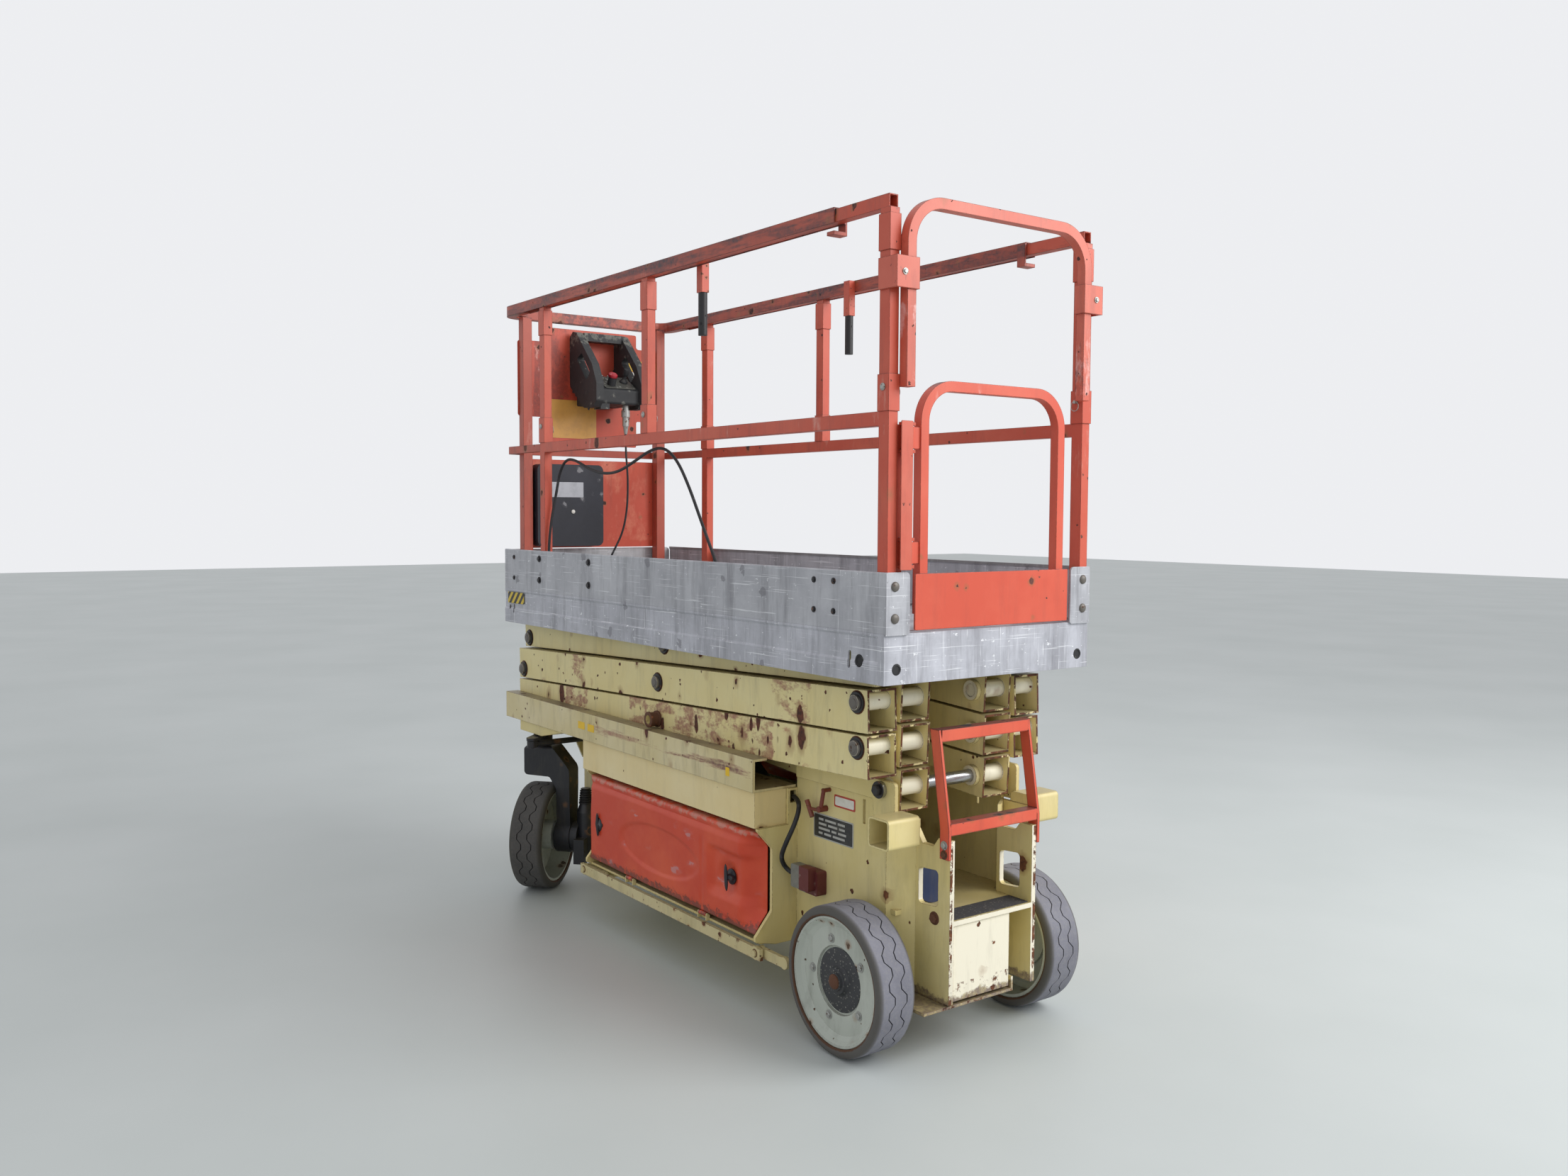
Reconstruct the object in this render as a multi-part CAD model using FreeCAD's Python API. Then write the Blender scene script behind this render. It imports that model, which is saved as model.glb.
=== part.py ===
import FreeCAD, Part
import math
import os

# Electric slab scissor lift: narrow chassis on four solid tyres, three stacked levels of
# crossed box arms, an aluminium platform with a sliding extension deck and orange guard rails.
# Millimetres, +X towards the steered wheels, +Y to the machine's left, +Z up,
# origin on the floor under the middle of the platform.

V = FreeCAD.Vector

# Running fits and the room left between pieces that move past each other
fit = 0.3
clear = 5.0

# Platform
platform_length = 2300.0
platform_width = 760.0
deck_z = 1153.0
deck_sheet = 4.0
side_depth = 130.0
side_wall = 22.0
toe_height = 156.0
tread_rise = 1.5
platform_end = platform_length / 2
front_post_face = platform_end - 12.0
platform_side = platform_width / 2
skirt_z = deck_z - side_depth
toe_z = deck_z + toe_height

# Guard rails
rail_top = 2250.0
mid_rail_top = 1712.0
post_depth = 38.0
post_width = 30.0
rail_side = 372.0
channel_wall = 3.0
slide_play = 1.5
front_post_x = 823.0
half_post_x = 62.0
channel_rear_x = -930.0
channel_front_x = 993.0

# Extension deck
extension_rear_x = -100.0
extension_sheet = 6.0
extension_front_x = platform_end
front_rail_x = 1185.0

# Scissor stack
level_count = 3
pin_pitch = 122.0
rear_pin_x = -977.0
front_pin_x = 1102.0
base_pin_z = 713.0
pivot_sweep_z = base_pin_z - 80.0
arm_height = 115.0
arm_wall = 6.0
inner_arm_in = 104.0
inner_arm_out = 207.0
outer_arm_in = 223.0
outer_arm_out = 323.0
top_outer_arm_out = 298.0
outer_pin_offset = 23.0
rear_overhang = 43.0
front_overhang_outer = 38.0
front_overhang_inner = 33.0
arm_pin_r = 18.0
sleeve_r = 25.0
boss_r = 30.0
boss_length = 14.0
cross_tube_r = 30.0

# Chassis
side_plate_out = 224.0
side_plate_t = 12.0
tail_plate_out = 162.0
tail_plate_t = 16.0
tail_x = -1170.0
tail_bottom_z = 160.0
tail_top_z = 600.0
side_plate_top_z = 700.0
tail_front_x = -1035.0
bend_front_x = -985.0
bulkhead_rear_x = -581.0
bulkhead_front_x = 474.0
bulkhead_t = 12.0
spine_out = 97.0
spine_t = 12.0
spine_bottom_z = 118.0
spine_top_z = 550.0
spine_front_x = 1030.0
channel_side = platform_side
channel_bottom_z = 647.0
channel_top_z = 745.0
channel_start_x = -574.0
channel_end_x = 1145.0
channel_t = 8.0
shelf_z = 384.0
shelf_t = 14.0
tray_z = 206.0
tray_t = 8.0
tray_out = 355.0
box_bottom_z = 540.0
box_in = 255.0
box_out = 370.0
box_front_x = 507.0
box_wall = 4.0
cover_bottom_z = 222.0
cover_top_z = 524.0
cover_in = 318.0
cover_out = 371.0
cover_wall = 5.0
cover_hollow = 41.0
cover_hollow_run = 70.0
cover_hinge_y = 362.0
cover_hinge_z = 216.5
cover_hinge_x = [-280.0, 180.0]
mount_bottom_z = 607.0
mount_in = 235.0
mount_rear_x = 652.0
mount_bend_x = 846.0
mount_front_x = 1032.0

# Wheels and steering
wheel_r = 203.0
tyre_width = 125.0
rim_r = 175.0
rear_axle_x = -947.0
front_axle_x = 945.0
wheel_y = platform_side - tyre_width / 2
axle_r = 25.0
steer_angle = -47.0
hub_flange_r = 62.0
knuckle_half = 50.0
knuckle_bottom_z = 446.0
knuckle_top_z = 558.0
steer_arm = 110.0
steer_arm_z = 590.0
tie_rod_z = 576.0
tie_rod_r = 11.0
kingpin_r = 22.0

# Lift cylinder
cylinder_pin_x = -500.0
cylinder_pin_z = 270.0
cylinder_reach = 1350.0
barrel_r = 50.0
barrel_bore_r = 42.0
rod_r = 28.0
barrel_length = 800.0
barrel_ends = 206.0
cylinder_stroke = barrel_length - barrel_ends
cylinder_pin_r = 20.0
cylinder_lug_run = 150.0
rod_eye_half = 31.0

# Pothole guards
guard_out = 376.0
guard_t = 12.0
guard_top_z = 195.0
guard_height = 35.0
guard_pin_z = 187.0
guard_front_pin_x = 494.0
guard_rear_pin_x = -582.0
guard_crank_length = 118.0
guard_pin_r = 10.0

# Cables
control_cable_r = 4.0
rail_cable_r = 5.0
chassis_cable_r = 7.0


def box(x0, x1, y0, y1, z0, z1):
    """Block between two corners."""
    return Part.makeBox(x1 - x0, y1 - y0, z1 - z0, V(x0, y0, z0))


def rod(start, end, radius):
    """Round bar from one point to another."""
    axis = V(*end) - V(*start)
    return Part.makeCylinder(radius, axis.Length, V(*start), axis)


def cross_bar(x, z, y0, y1, radius):
    """Round bar along Y."""
    return rod((x, y0, z), (x, y1, z), radius)


def fuse(shapes):
    """One solid from pieces that are welded together."""
    joined = shapes[0]
    if len(shapes) > 1:
        joined = joined.fuse(shapes[1:])
    return joined.removeSplitter()


def cut(shape, tools):
    """Shape with the tools taken away."""
    return shape.cut(Part.makeCompound(tools))


def mirrored(shape):
    """The same piece on the other side of the machine."""
    return shape.mirror(V(0, 0, 0), V(0, 1, 0))


def pair(shape):
    """A left piece and its right twin."""
    return [shape, mirrored(shape)]


def lift_point(plane, u, v, offset):
    """Point of a drawing plane set into space."""
    if plane == "xz":
        return V(u, offset, v)
    if plane == "yz":
        return V(offset, u, v)
    return V(u, v, offset)


def plane_normal(plane):
    """Direction in which a drawing plane is thickened."""
    return {"xz": V(0, 1, 0), "yz": V(1, 0, 0), "xy": V(0, 0, 1)}[plane]


def rounded_wire(points, radii):
    """Closed outline with a tangent arc of the given radius at each corner."""
    count = len(points)
    corners = []
    for i in range(count):
        corner = points[i]
        back = (points[i - 1] - corner).normalize()
        ahead = (points[(i + 1) % count] - corner).normalize()
        if radii[i] == 0:
            corners.append((corner, None, corner))
            continue
        half = back.getAngle(ahead) / 2
        reach = radii[i] / math.tan(half)
        bisector = (back + ahead).normalize()
        middle = corner + bisector * (radii[i] / math.sin(half) - radii[i])
        corners.append((corner + back * reach, middle, corner + ahead * reach))
    edges = []
    for i in range(count):
        start, middle, end = corners[i]
        if middle is not None:
            edges.append(Part.Arc(start, middle, end).toShape())
        following = corners[(i + 1) % count][0]
        if (following - end).Length > 0.001:
            edges.append(Part.LineSegment(end, following).toShape())
    return Part.Wire(edges)


def plate(plane, outline, offset, thickness, radius=0.0):
    """Flat plate cut to an outline; radius is one value or one for each corner."""
    radii = radius if isinstance(radius, list) else [radius] * len(outline)
    points = [lift_point(plane, u, v, offset) for u, v in outline]
    face = Part.Face(rounded_wire(points, radii))
    return face.extrude(plane_normal(plane) * thickness)


def bent_bar(plane, path, bend, width, offset, thickness):
    """Bar of rectangular section that follows a path with rounded bends in one plane."""
    line = [V(u, v, 0) for u, v in path]
    left = []
    right = []
    for i, point in enumerate(line):
        before = (point - line[i - 1]).normalize() if i > 0 else None
        after = (line[i + 1] - point).normalize() if i < len(line) - 1 else None
        first = before or after
        second = after or before
        direction = (first + second).normalize()
        stretch = 1 / direction.dot(first)
        side = V(-direction.y, direction.x, 0) * (width / 2 * stretch)
        left.append((point + side, first.cross(second).z))
        right.append((point - side, first.cross(second).z))
    radii = [corner_radius(bend, width, turn, 1) for _, turn in left]
    radii += [corner_radius(bend, width, turn, -1) for _, turn in reversed(right)]
    outline = [(p.x, p.y) for p, _ in left] + [(p.x, p.y) for p, _ in reversed(right)]
    return plate(plane, outline, offset, thickness, radii)


def corner_radius(bend, width, turn, side):
    """Radius of one edge of a bar at a bend: smaller on the side it turns towards."""
    if abs(turn) < 1e-6:
        return 0.0
    return bend - side * math.copysign(width / 2, turn)


def turned(profile, x, z):
    """Ring or disc about a wheel's axle from a profile of (distance along Y, radius)."""
    points = [V(x, y, z + r) for y, r in profile]
    face = Part.Face(Part.makePolygon(points + points[:1]))
    return face.revolve(V(x, 0, z), V(0, 1, 0), 360)


def box_tube(x0, x1, y0, y1, z0, z1, wall):
    """Square tube along X, open at both ends."""
    bore = box(x0 - 1, x1 + 1, y0 + wall, y1 - wall, z0 + wall, z1 - wall)
    return cut(box(x0, x1, y0, y1, z0, z1), [bore])


def cord(points, radius, name):
    """Round cord along straight runs joined by arcs that are as large as the runs allow."""
    line = [V(*p) for p in points]
    edges = []
    start = line[0]
    radii = []
    for before, corner, after in zip(line, line[1:], line[2:]):
        back = before - corner
        ahead = after - corner
        reach = 0.45 * min(back.Length, ahead.Length)
        back.normalize()
        ahead.normalize()
        half = back.getAngle(ahead) / 2
        bend = reach * math.tan(half)
        bisector = (back + ahead).normalize()
        middle = corner + bisector * (bend / math.sin(half) - bend)
        edges.append(Part.LineSegment(start, corner + back * reach).toShape())
        edges.append(Part.Arc(corner + back * reach, middle, corner + ahead * reach).toShape())
        start = corner + ahead * reach
        radii.append(round(bend, 1))
    edges.append(Part.LineSegment(start, line[-1]).toShape())
    path = Part.Wire(edges)
    section = Part.Wire(Part.makeCircle(radius, line[0], line[1] - line[0]))
    solid = path.makePipeShell([section], True, True)
    expected = math.pi * radius ** 2 * path.Length
    print(name, "length", round(path.Length), "radii", radii, "volume share", round(solid.Volume / expected, 4))
    return solid


def save(name, shapes):
    """Write one sub-part; several shapes are like pieces on one body."""
    shape = shapes[0] if len(shapes) == 1 else Part.makeCompound(shapes)
    for solid in shape.Solids:
        if not solid.isValid() or solid.Volume <= 0:
            print("CHECK", name, solid.isValid(), solid.Volume)
    shape.exportStep("parts/" + name + ".step")


# Scissor geometry worked out from the pin places
span = front_pin_x - rear_pin_x
middle_pin_x = (front_pin_x + rear_pin_x) / 2
pin_length = math.hypot(span, pin_pitch)
rest_angle = math.degrees(math.atan2(pin_pitch, span))
outer_tilt = math.degrees(math.asin(outer_pin_offset / (pin_length / 2)))
top_pin_z = base_pin_z + level_count * pin_pitch


def middle_z(level):
    """Height of the middle pin of a level, counted from 1."""
    return base_pin_z + (level - 0.5) * pin_pitch


def set_arm(shape, level, angle):
    """Turn an arm drawn level about its middle pin and set it at its height."""
    placed = shape.copy()
    placed.rotate(V(0, 0, 0), V(0, -1, 0), angle)
    placed.translate(V(middle_pin_x, 0, middle_z(level)))
    return placed


def arm_box(half, front_overhang, y0, y1):
    """Open box section of an arm, drawn level about its middle pin."""
    x0 = -half - rear_overhang
    x1 = half + front_overhang
    return box_tube(x0, x1, y0, y1, -arm_height / 2, arm_height / 2, arm_wall)


def inner_arm(level):
    """Inner arm: box section with white pin sleeves, and bosses on its inner face."""
    half = pin_length / 2
    stations = [-half, 0.0, half]
    tube = arm_box(half, front_overhang_inner, inner_arm_in, inner_arm_out)
    sleeves = [cross_bar(x, 0, inner_arm_in + 2, inner_arm_out - 2, sleeve_r) for x in stations]
    bosses = [cross_bar(x, 0, inner_arm_in - boss_length, inner_arm_in + 3, boss_r) for x in stations]
    bores = [cross_bar(x, 0, inner_arm_in - boss_length - 1, inner_arm_out + 1, arm_pin_r + fit)
             for x in stations]
    if level == level_count:
        bores.pop()
        block_pin = cross_bar(half, 0, block_in(), inner_arm_out - 1, arm_pin_r)
        sleeves.append(block_pin)
    return cut(fuse([tube] + sleeves + bosses), bores)


def block_in():
    """Inner face of the slide blocks under the platform."""
    return 60.0


def inner_arms(level):
    """Pair of inner arms joined by round cross tubes."""
    half = pin_length / 2
    arm = inner_arm(level)
    eye_x = -half + cylinder_reach
    tubes = [-half + 300, eye_x + cylinder_lug_run if level < level_count else -half * 0.2]
    reach = inner_arm_in + 3
    crossings = [cross_bar(x, 0, -reach, reach, cross_tube_r) for x in tubes]
    joined = fuse(pair(arm) + crossings)
    if level == 1:
        joined = fuse([joined] + cylinder_lugs(eye_x))
    return set_arm(joined, level, rest_angle)


def cylinder_lugs(eye_x):
    """Two lugs on the front cross tube, one on each side of the rod's eye."""
    y0 = rod_eye_half + 3
    lug = bent_bar("xz", [(eye_x, 0), (eye_x + cylinder_lug_run, 0)], 0, 52, y0, 12)
    eye = cross_bar(eye_x, 0, y0, y0 + 12, 38)
    bore = cross_bar(eye_x, 0, y0 - 1, y0 + 13, cylinder_pin_r + fit)
    return pair(cut(fuse([lug, eye]), [bore]))


def pin_head(x, z, y):
    """Washer and domed head of a pin on the outer face of an arm."""
    washer = cross_bar(x, z, y - 1, y + 4, 28)
    head = cross_bar(x, z, y + 3, y + 13, 20)
    return fuse([washer, head])


def outer_arm(level):
    """Outer arm with the pins it carries: rear, middle and front."""
    half = math.sqrt((pin_length / 2) ** 2 - outer_pin_offset ** 2)
    out = top_outer_arm_out if level == level_count else outer_arm_out
    stations = [(-half, outer_pin_offset), (0.0, 0.0), (half, -outer_pin_offset)]
    pieces = [arm_box(half, front_overhang_outer, outer_arm_in, out)]
    for place, (x, z) in enumerate(stations):
        pin_end = inner_arm_in - boss_length + 2
        if level == level_count and place == 0:
            pin_end = hanger_in() - 2
        if level == 1 and place == 2:
            pin_end = outer_arm_in
        pieces.append(cross_bar(x, z, outer_arm_in + 1, out - 1, sleeve_r))
        pieces.append(cross_bar(x, z, pin_end, out, arm_pin_r))
        if pin_end < inner_arm_out:
            pieces.append(cross_bar(x, z, inner_arm_out + 0.5, outer_arm_in + 1, boss_r))
        if level == 1 and place == 1:
            pieces.append(cut(cross_bar(x, z, out - 1, out + 37, 22),
                              [cross_bar(x, z, out + 6, out + 38, 15)]))
        elif level == 1 and place == 2:
            pieces.append(cross_bar(x, z, out - 1, channel_side - channel_t - 4, arm_pin_r))
        elif level == level_count and place == 0:
            pieces.append(cross_bar(x, z, out - 1, out + 16, arm_pin_r))
        else:
            pieces.append(pin_head(x, z, out))
    return fuse(pieces)


def hanger_in():
    """Inner face of the lugs that carry the platform on the top arms."""
    return inner_arm_out + 2


def outer_arms(level):
    """Left and right outer arms; cross tubes would foul the inner arms."""
    arm = set_arm(outer_arm(level), level, outer_tilt - rest_angle)
    return pair(arm)


def slide_block(x, z, y0, y1, z0, z1):
    """Wear block that runs in a channel on an arm's pin."""
    body = plate("xz", [(x - 40, z0), (x + 40, z0), (x + 40, z1), (x - 40, z1)], y0, y1 - y0, 6.0)
    return cut(body, [cross_bar(x, z, y0 - 1, y1 + 1, arm_pin_r + fit)])


def lower_slide_blocks():
    """Blocks at the front of the bottom outer arms, in the chassis channels."""
    block = slide_block(front_pin_x, base_pin_z, outer_arm_out + 8, channel_side - channel_t - 0.5,
                        channel_bottom_z + channel_t + 0.5, channel_top_z - channel_t - 0.5)
    return pair(block)


platform_channel_z0 = top_pin_z - 42.0
platform_channel_z1 = top_pin_z + 42.0


def upper_slide_blocks():
    """Blocks at the front of the top inner arms, in the channels under the deck."""
    block = slide_block(front_pin_x, top_pin_z, block_in() + 0.5, inner_arm_in - boss_length - 1,
                        platform_channel_z0 + channel_t - 1.5, platform_channel_z1 - channel_t + 1.5)
    return pair(block)


def tail_plate():
    """Rear side plate with its window, up to the bend."""
    dip = tail_top_z - 26
    outline = [(tail_x, tail_bottom_z), (tail_front_x, tail_bottom_z), (tail_front_x, tail_top_z + 10),
               (tail_front_x - 27, dip), (tail_x + 65, dip), (tail_x + 45, tail_top_z), (tail_x, tail_top_z)]
    sheet = plate("xz", outline, tail_plate_out - tail_plate_t, tail_plate_t)
    window_rear = tail_x + 45
    window_front = tail_front_x - 13
    low = shelf_z + 24
    window = plate("xz", [(window_rear, low + 6), (window_front, low), (window_front, low + 98),
                          (window_rear, low + 104)], tail_plate_out - 40, 60, 12.0)
    return cut(sheet, [window])


def tail_bend():
    """Sheet that joins the narrow tail plate to the wide side plate."""
    outline = [(tail_front_x - 1, tail_plate_out), (tail_front_x - 1, tail_plate_out - tail_plate_t),
               (bend_front_x + 1, side_plate_out - side_plate_t), (bend_front_x + 1, side_plate_out)]
    return plate("xy", outline, tail_bottom_z, pivot_sweep_z - tail_bottom_z)


def side_plate():
    """Side plate between the tail and the rear bulkhead."""
    outline = [(bend_front_x, tail_bottom_z), (bulkhead_rear_x + 2, tail_bottom_z),
               (bulkhead_rear_x + 2, side_plate_top_z), (bend_front_x, side_plate_top_z)]
    sheet = plate("xz", outline, side_plate_out - side_plate_t, side_plate_t)
    slit_x = rear_pin_x + 81
    slit = box(slit_x, slit_x + 10, side_plate_out - 40, side_plate_out + 40, tail_top_z, side_plate_top_z - 32)
    return cut(sheet, [slit, pivot_bore()])


def pivot_bore():
    """Hole of the base pivot shaft in the left side of the chassis."""
    return cross_bar(rear_pin_x, base_pin_z, side_plate_out - 40, side_plate_out + 40, arm_pin_r + fit)


def pivot_stand():
    """Short box tube beside the bend, and the pivot plate that runs forward along the side plate."""
    x0 = tail_x + 64
    x1 = x0 + 84
    z0 = tail_top_z - 20
    z1 = z0 + 82
    y0 = side_plate_out - 12
    y1 = side_plate_out + 96
    tube = plate("xz", [(x0, z0), (x1, z0), (x1, z1), (x0, z1)], y0, y1 - y0, 12.0)
    hollow = plate("xz", [(x0 + 6, z0 + 6), (x1 - 6, z0 + 6), (x1 - 6, z1 - 6), (x0 + 6, z1 - 6)],
                   y0 + 8, y1 - y0, 7.0)
    cap = box(x0 + 4, bend_front_x - 3, y0 - 4, y0 + 8, z0 + 3, pivot_sweep_z)
    low = side_plate_top_z - 18
    top = base_pin_z + 25
    pivot_plate = plate("xz", [(rear_pin_x - 55, low - 46), (rear_pin_x + 31, low - 46), (rear_pin_x + 37, low),
                               (bulkhead_rear_x - 10, low), (bulkhead_rear_x - 10, low + 34),
                               (rear_pin_x + 45, top), (rear_pin_x - 55, top)],
                        side_plate_out, side_plate_t, [0, 0, 4, 4, 4, 10, 12])
    return cut(fuse([tube, cap, pivot_plate]), [hollow, pivot_bore()])


def bulkhead(x):
    """Cross plate at an end of the battery bay, with its hollowed outer edge."""
    outline = [(spine_out - 2, 190), (300, 190), (372, 206), (372, 221), (314, 290), (314, 476),
               (366, 533), (366, 540), (256, 540), (256, channel_bottom_z), (spine_out - 2, channel_bottom_z)]
    radii = [0, 10, 6, 6, 14, 14, 4, 0, 0, 0, 0]
    return plate("yz", outline, x, bulkhead_t, radii)


def chassis_frame():
    """Welded frame: tail plates, side plates, bulkheads, spine, trays and steering beam."""
    rear_bulkhead = cut(bulkhead(bulkhead_rear_x), [box(-600, -560, 228, 250, 604, 640)])
    left = fuse([tail_plate(), tail_bend(), side_plate(), pivot_stand(), rear_bulkhead])
    front_bulkhead = bulkhead(bulkhead_front_x)
    spine = box(bulkhead_rear_x + 2, spine_front_x, spine_out - spine_t, spine_out, spine_bottom_z, spine_top_z)
    battery_tray = box(bulkhead_rear_x + 2, bulkhead_front_x + 2, spine_out - 2, tray_out,
                       tray_z - tray_t, tray_z)
    mount_box = plate("xz", [(mount_rear_x, channel_bottom_z), (mount_bend_x, mount_bottom_z),
                             (mount_front_x, mount_bottom_z), (mount_front_x, channel_bottom_z)],
                      mount_in, rail_side - mount_in)
    mount_box = cut(mount_box, [rod((front_axle_x, wheel_y, mount_bottom_z - 1),
                                    (front_axle_x, wheel_y, channel_bottom_z - 4), kingpin_r + fit)])
    brace = plate("yz", [(spine_out - 2, 470), (spine_out + 10, 470), (spine_out + 70, mount_bottom_z + 1),
                         (spine_out - 2, mount_bottom_z + 1)], spine_front_x - 12, 12)
    hinges = []
    for x in cover_hinge_x:
        for ear_x in [x - 26, x + 21]:
            hinges.append(box(ear_x, ear_x + 5, tray_out - 2, cover_hinge_y + 4.5,
                              tray_z - tray_t, cover_hinge_z))
            hinges.append(rod((ear_x, cover_hinge_y, cover_hinge_z),
                              (ear_x + 5, cover_hinge_y, cover_hinge_z), 4.5))
        hinges.append(rod((x - 23, cover_hinge_y, cover_hinge_z), (x + 23, cover_hinge_y, cover_hinge_z), 3))
    sides = []
    for piece in [left, front_bulkhead, spine, battery_tray, mount_box, brace] + hinges:
        sides += pair(piece)
    steering_beam = box(mount_bend_x, mount_front_x, -mount_in - 1, mount_in + 1, mount_bottom_z,
                        channel_bottom_z)
    front_plate = box(spine_front_x - 12, spine_front_x, -spine_out, spine_out, spine_bottom_z,
                      mount_bottom_z + 1)
    riser = box(front_axle_x - 20, front_axle_x - 8, -spine_out, spine_out, spine_top_z - 1, mount_bottom_z + 1)
    floor = box(bulkhead_rear_x + 2, spine_front_x, -spine_out, spine_out, spine_bottom_z, spine_bottom_z + 12)
    spine_rear = box(bulkhead_rear_x, bulkhead_rear_x + 12, -spine_out, spine_out, spine_bottom_z, 330)
    wide = side_plate_out - 1
    narrow = tail_plate_out - 1
    shelf = box(tail_x, -1010, -narrow, narrow, shelf_z - shelf_t, shelf_z)
    shelf_front = box(-1012, bulkhead_rear_x + 2, -wide + 10, wide - 10, shelf_z - shelf_t, shelf_z)
    step_panel = box(tail_x + 5, tail_x + 11, -66, narrow - 10, 165, shelf_z - 2)
    step_return = box(tail_x + 5, -1010, -66, -60, 165, shelf_z - 2)
    rear_tray = fuse([box(tail_x + 5, bulkhead_rear_x + 2, -84, side_plate_out - 1, 148, 156),
                      box(tail_x + 5, -1012, 0, 245, 148, 156)])
    rear_tray_lip = box(tail_x + 5, bulkhead_rear_x + 2, -84, -76, 150, 188)
    tray_rest = box(tail_x + 20, bulkhead_rear_x, 146, 160, 150, 170)
    cylinder_pin = cross_bar(cylinder_pin_x, cylinder_pin_z, -spine_out + 1, spine_out - 1, cylinder_pin_r)
    middle = [steering_beam, front_plate, riser, floor, spine_rear, shelf, shelf_front, step_panel,
              step_return, rear_tray, rear_tray_lip, tray_rest, cylinder_pin]
    return fuse(sides + middle)


def slide_channels():
    """C channels along the sides of the chassis, open towards the arms."""
    web = box(channel_start_x, channel_end_x, channel_side - channel_t, channel_side,
              channel_bottom_z, channel_top_z)
    top = box(channel_start_x, channel_end_x, outer_arm_out + 7, channel_side,
              channel_top_z - channel_t, channel_top_z)
    bottom = box(channel_start_x, channel_end_x, side_plate_out + 0.5, channel_side,
                 channel_bottom_z, channel_bottom_z + channel_t)
    return pair(fuse([web, top, bottom]))


def side_boxes():
    """Sheet boxes between the channels and the battery covers, open towards the middle."""
    x0 = bulkhead_rear_x + bulkhead_t
    body = box(x0, box_front_x, box_in + 1.5, box_out, box_bottom_z, channel_bottom_z)
    inside = box(x0 + box_wall, box_front_x - box_wall, box_in, box_out - box_wall,
                 box_bottom_z + box_wall, channel_bottom_z - box_wall)
    return pair(cut(body, [inside]))


def base_pivot_shaft():
    """Polished shaft through both bottom inner arms, with black heads outside."""
    outer = side_plate_out + side_plate_t
    shaft = cross_bar(rear_pin_x, base_pin_z, -outer - 1, outer + 1, arm_pin_r)
    heads = pair(cross_bar(rear_pin_x, base_pin_z, outer + fit, outer + 12, 23))
    return fuse([shaft] + heads)


def rear_axles():
    """Stub axles on round flanges on the side plates."""
    flange = cross_bar(rear_axle_x, wheel_r, side_plate_out, side_plate_out + 16, 58)
    stub = cross_bar(rear_axle_x, wheel_r, side_plate_out + 10, wheel_y + 29, axle_r)
    return pair(fuse([flange, stub]))


def battery_pack():
    """Four batteries as plain blocks, two on each side of the spine."""
    y0 = spine_out + 8
    y1 = cover_in - 20
    x0 = bulkhead_rear_x + bulkhead_t + 49
    x1 = bulkhead_front_x - 44
    length = (x1 - x0 - 30) / 2
    top = box_bottom_z - 70
    rear = box(x0, x0 + length, y0, y1, tray_z, top)
    front = box(x1 - length, x1, y0, y1, tray_z, top)
    return pair(rear) + pair(front)


def pump_motor():
    """Hydraulic motor, pump and tank on the rear shelf."""
    centre_z = shelf_z + 68
    motor_x = tail_x + 155
    pump_x = tail_x + 350
    tank_x = tail_x + 400
    motor = rod((motor_x, 72, centre_z), (pump_x, 72, centre_z), 68)
    pump = box(pump_x - 2, tank_x + 2, 30, 114, shelf_z, shelf_z + 110)
    tank_front = tank_x + 150
    tank = plate("xy", [(tank_x, -40), (tank_front, -40), (tank_front, 185), (tank_x, 185)], shelf_z, 150, 14.0)
    return [fuse([motor, pump, tank])]


def ladder():
    """Orange step: two leaning flat stiles outside the tail plates and two rungs."""
    foot = tail_top_z - 50
    bend = tail_top_z + 30
    top = tail_top_z + 289
    lean = [(tail_x - 3, foot), (tail_x + 31, foot), (tail_x + 31, bend), (tail_x + 74, top),
            (tail_x + 40, top), (tail_x - 3, bend)]
    stile = plate("xz", lean, tail_plate_out, 9)
    rungs = []
    for z, x in [(tail_top_z + 14, tail_x - 2), (top - 32, tail_x + 36)]:
        rung = box(x, x + 34, -tail_plate_out - 1, tail_plate_out + 1, z, z + 32)
        hollow = box(x + 4, x + 36, -tail_plate_out - 2, tail_plate_out + 2, z - 1, z + 28)
        rungs.append(cut(rung, [hollow]))
    return [fuse(pair(stile) + rungs)]


def battery_connector():
    """Plug and socket of the battery lead on the left side plate."""
    y0 = side_plate_out
    socket = plate("xz", [(-724, 358), (-634, 358), (-634, 428), (-724, 428)], y0, 34, 6.0)
    plug = plate("xz", [(-713, 372), (-629, 372), (-629, 440), (-713, 440)], y0 + 30, 28, 6.0)
    return [fuse([socket, plug])]


def lowering_handle():
    """T handle of the manual lowering valve on the left side plate."""
    y0 = side_plate_out
    stem = rod((-737, y0 + 22, 672), (-721, y0 + 22, 606), 6)
    collar = cross_bar(-721, 611, y0, y0 + 30, 9)
    neck = rod((-721, y0 + 22, 608), (-670, y0 + 22, 604), 5)
    bar = rod((-657, y0 + 22, 626), (-683, y0 + 22, 581), 7)
    hook = cross_bar(-737, 668, y0, y0 + 27, 6)
    return [fuse([stem, collar, neck, bar, hook])]


def end_hollow(x_end, toward, grow):
    """Wedge that takes the hollow out of one end of a cover: full depth at the end, none further in."""
    deep = cover_out - cover_hollow - grow
    low = cover_bottom_z + 75
    high = cover_top_z - 60
    reach = cover_hollow_run + grow
    wires = []
    for x, y, spread in [(x_end - toward * 1, deep, 0), (x_end + toward * reach, cover_out + 1, 30)]:
        points = [V(x, y, low - grow + spread), V(x, y, high + grow - spread),
                  V(x, cover_out + 3, high + grow + 30 - spread), V(x, cover_out + 3, low - grow - 30 + spread)]
        wires.append(Part.makePolygon(points + points[:1]))
    return Part.makeLoft(wires, True, True)


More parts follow.
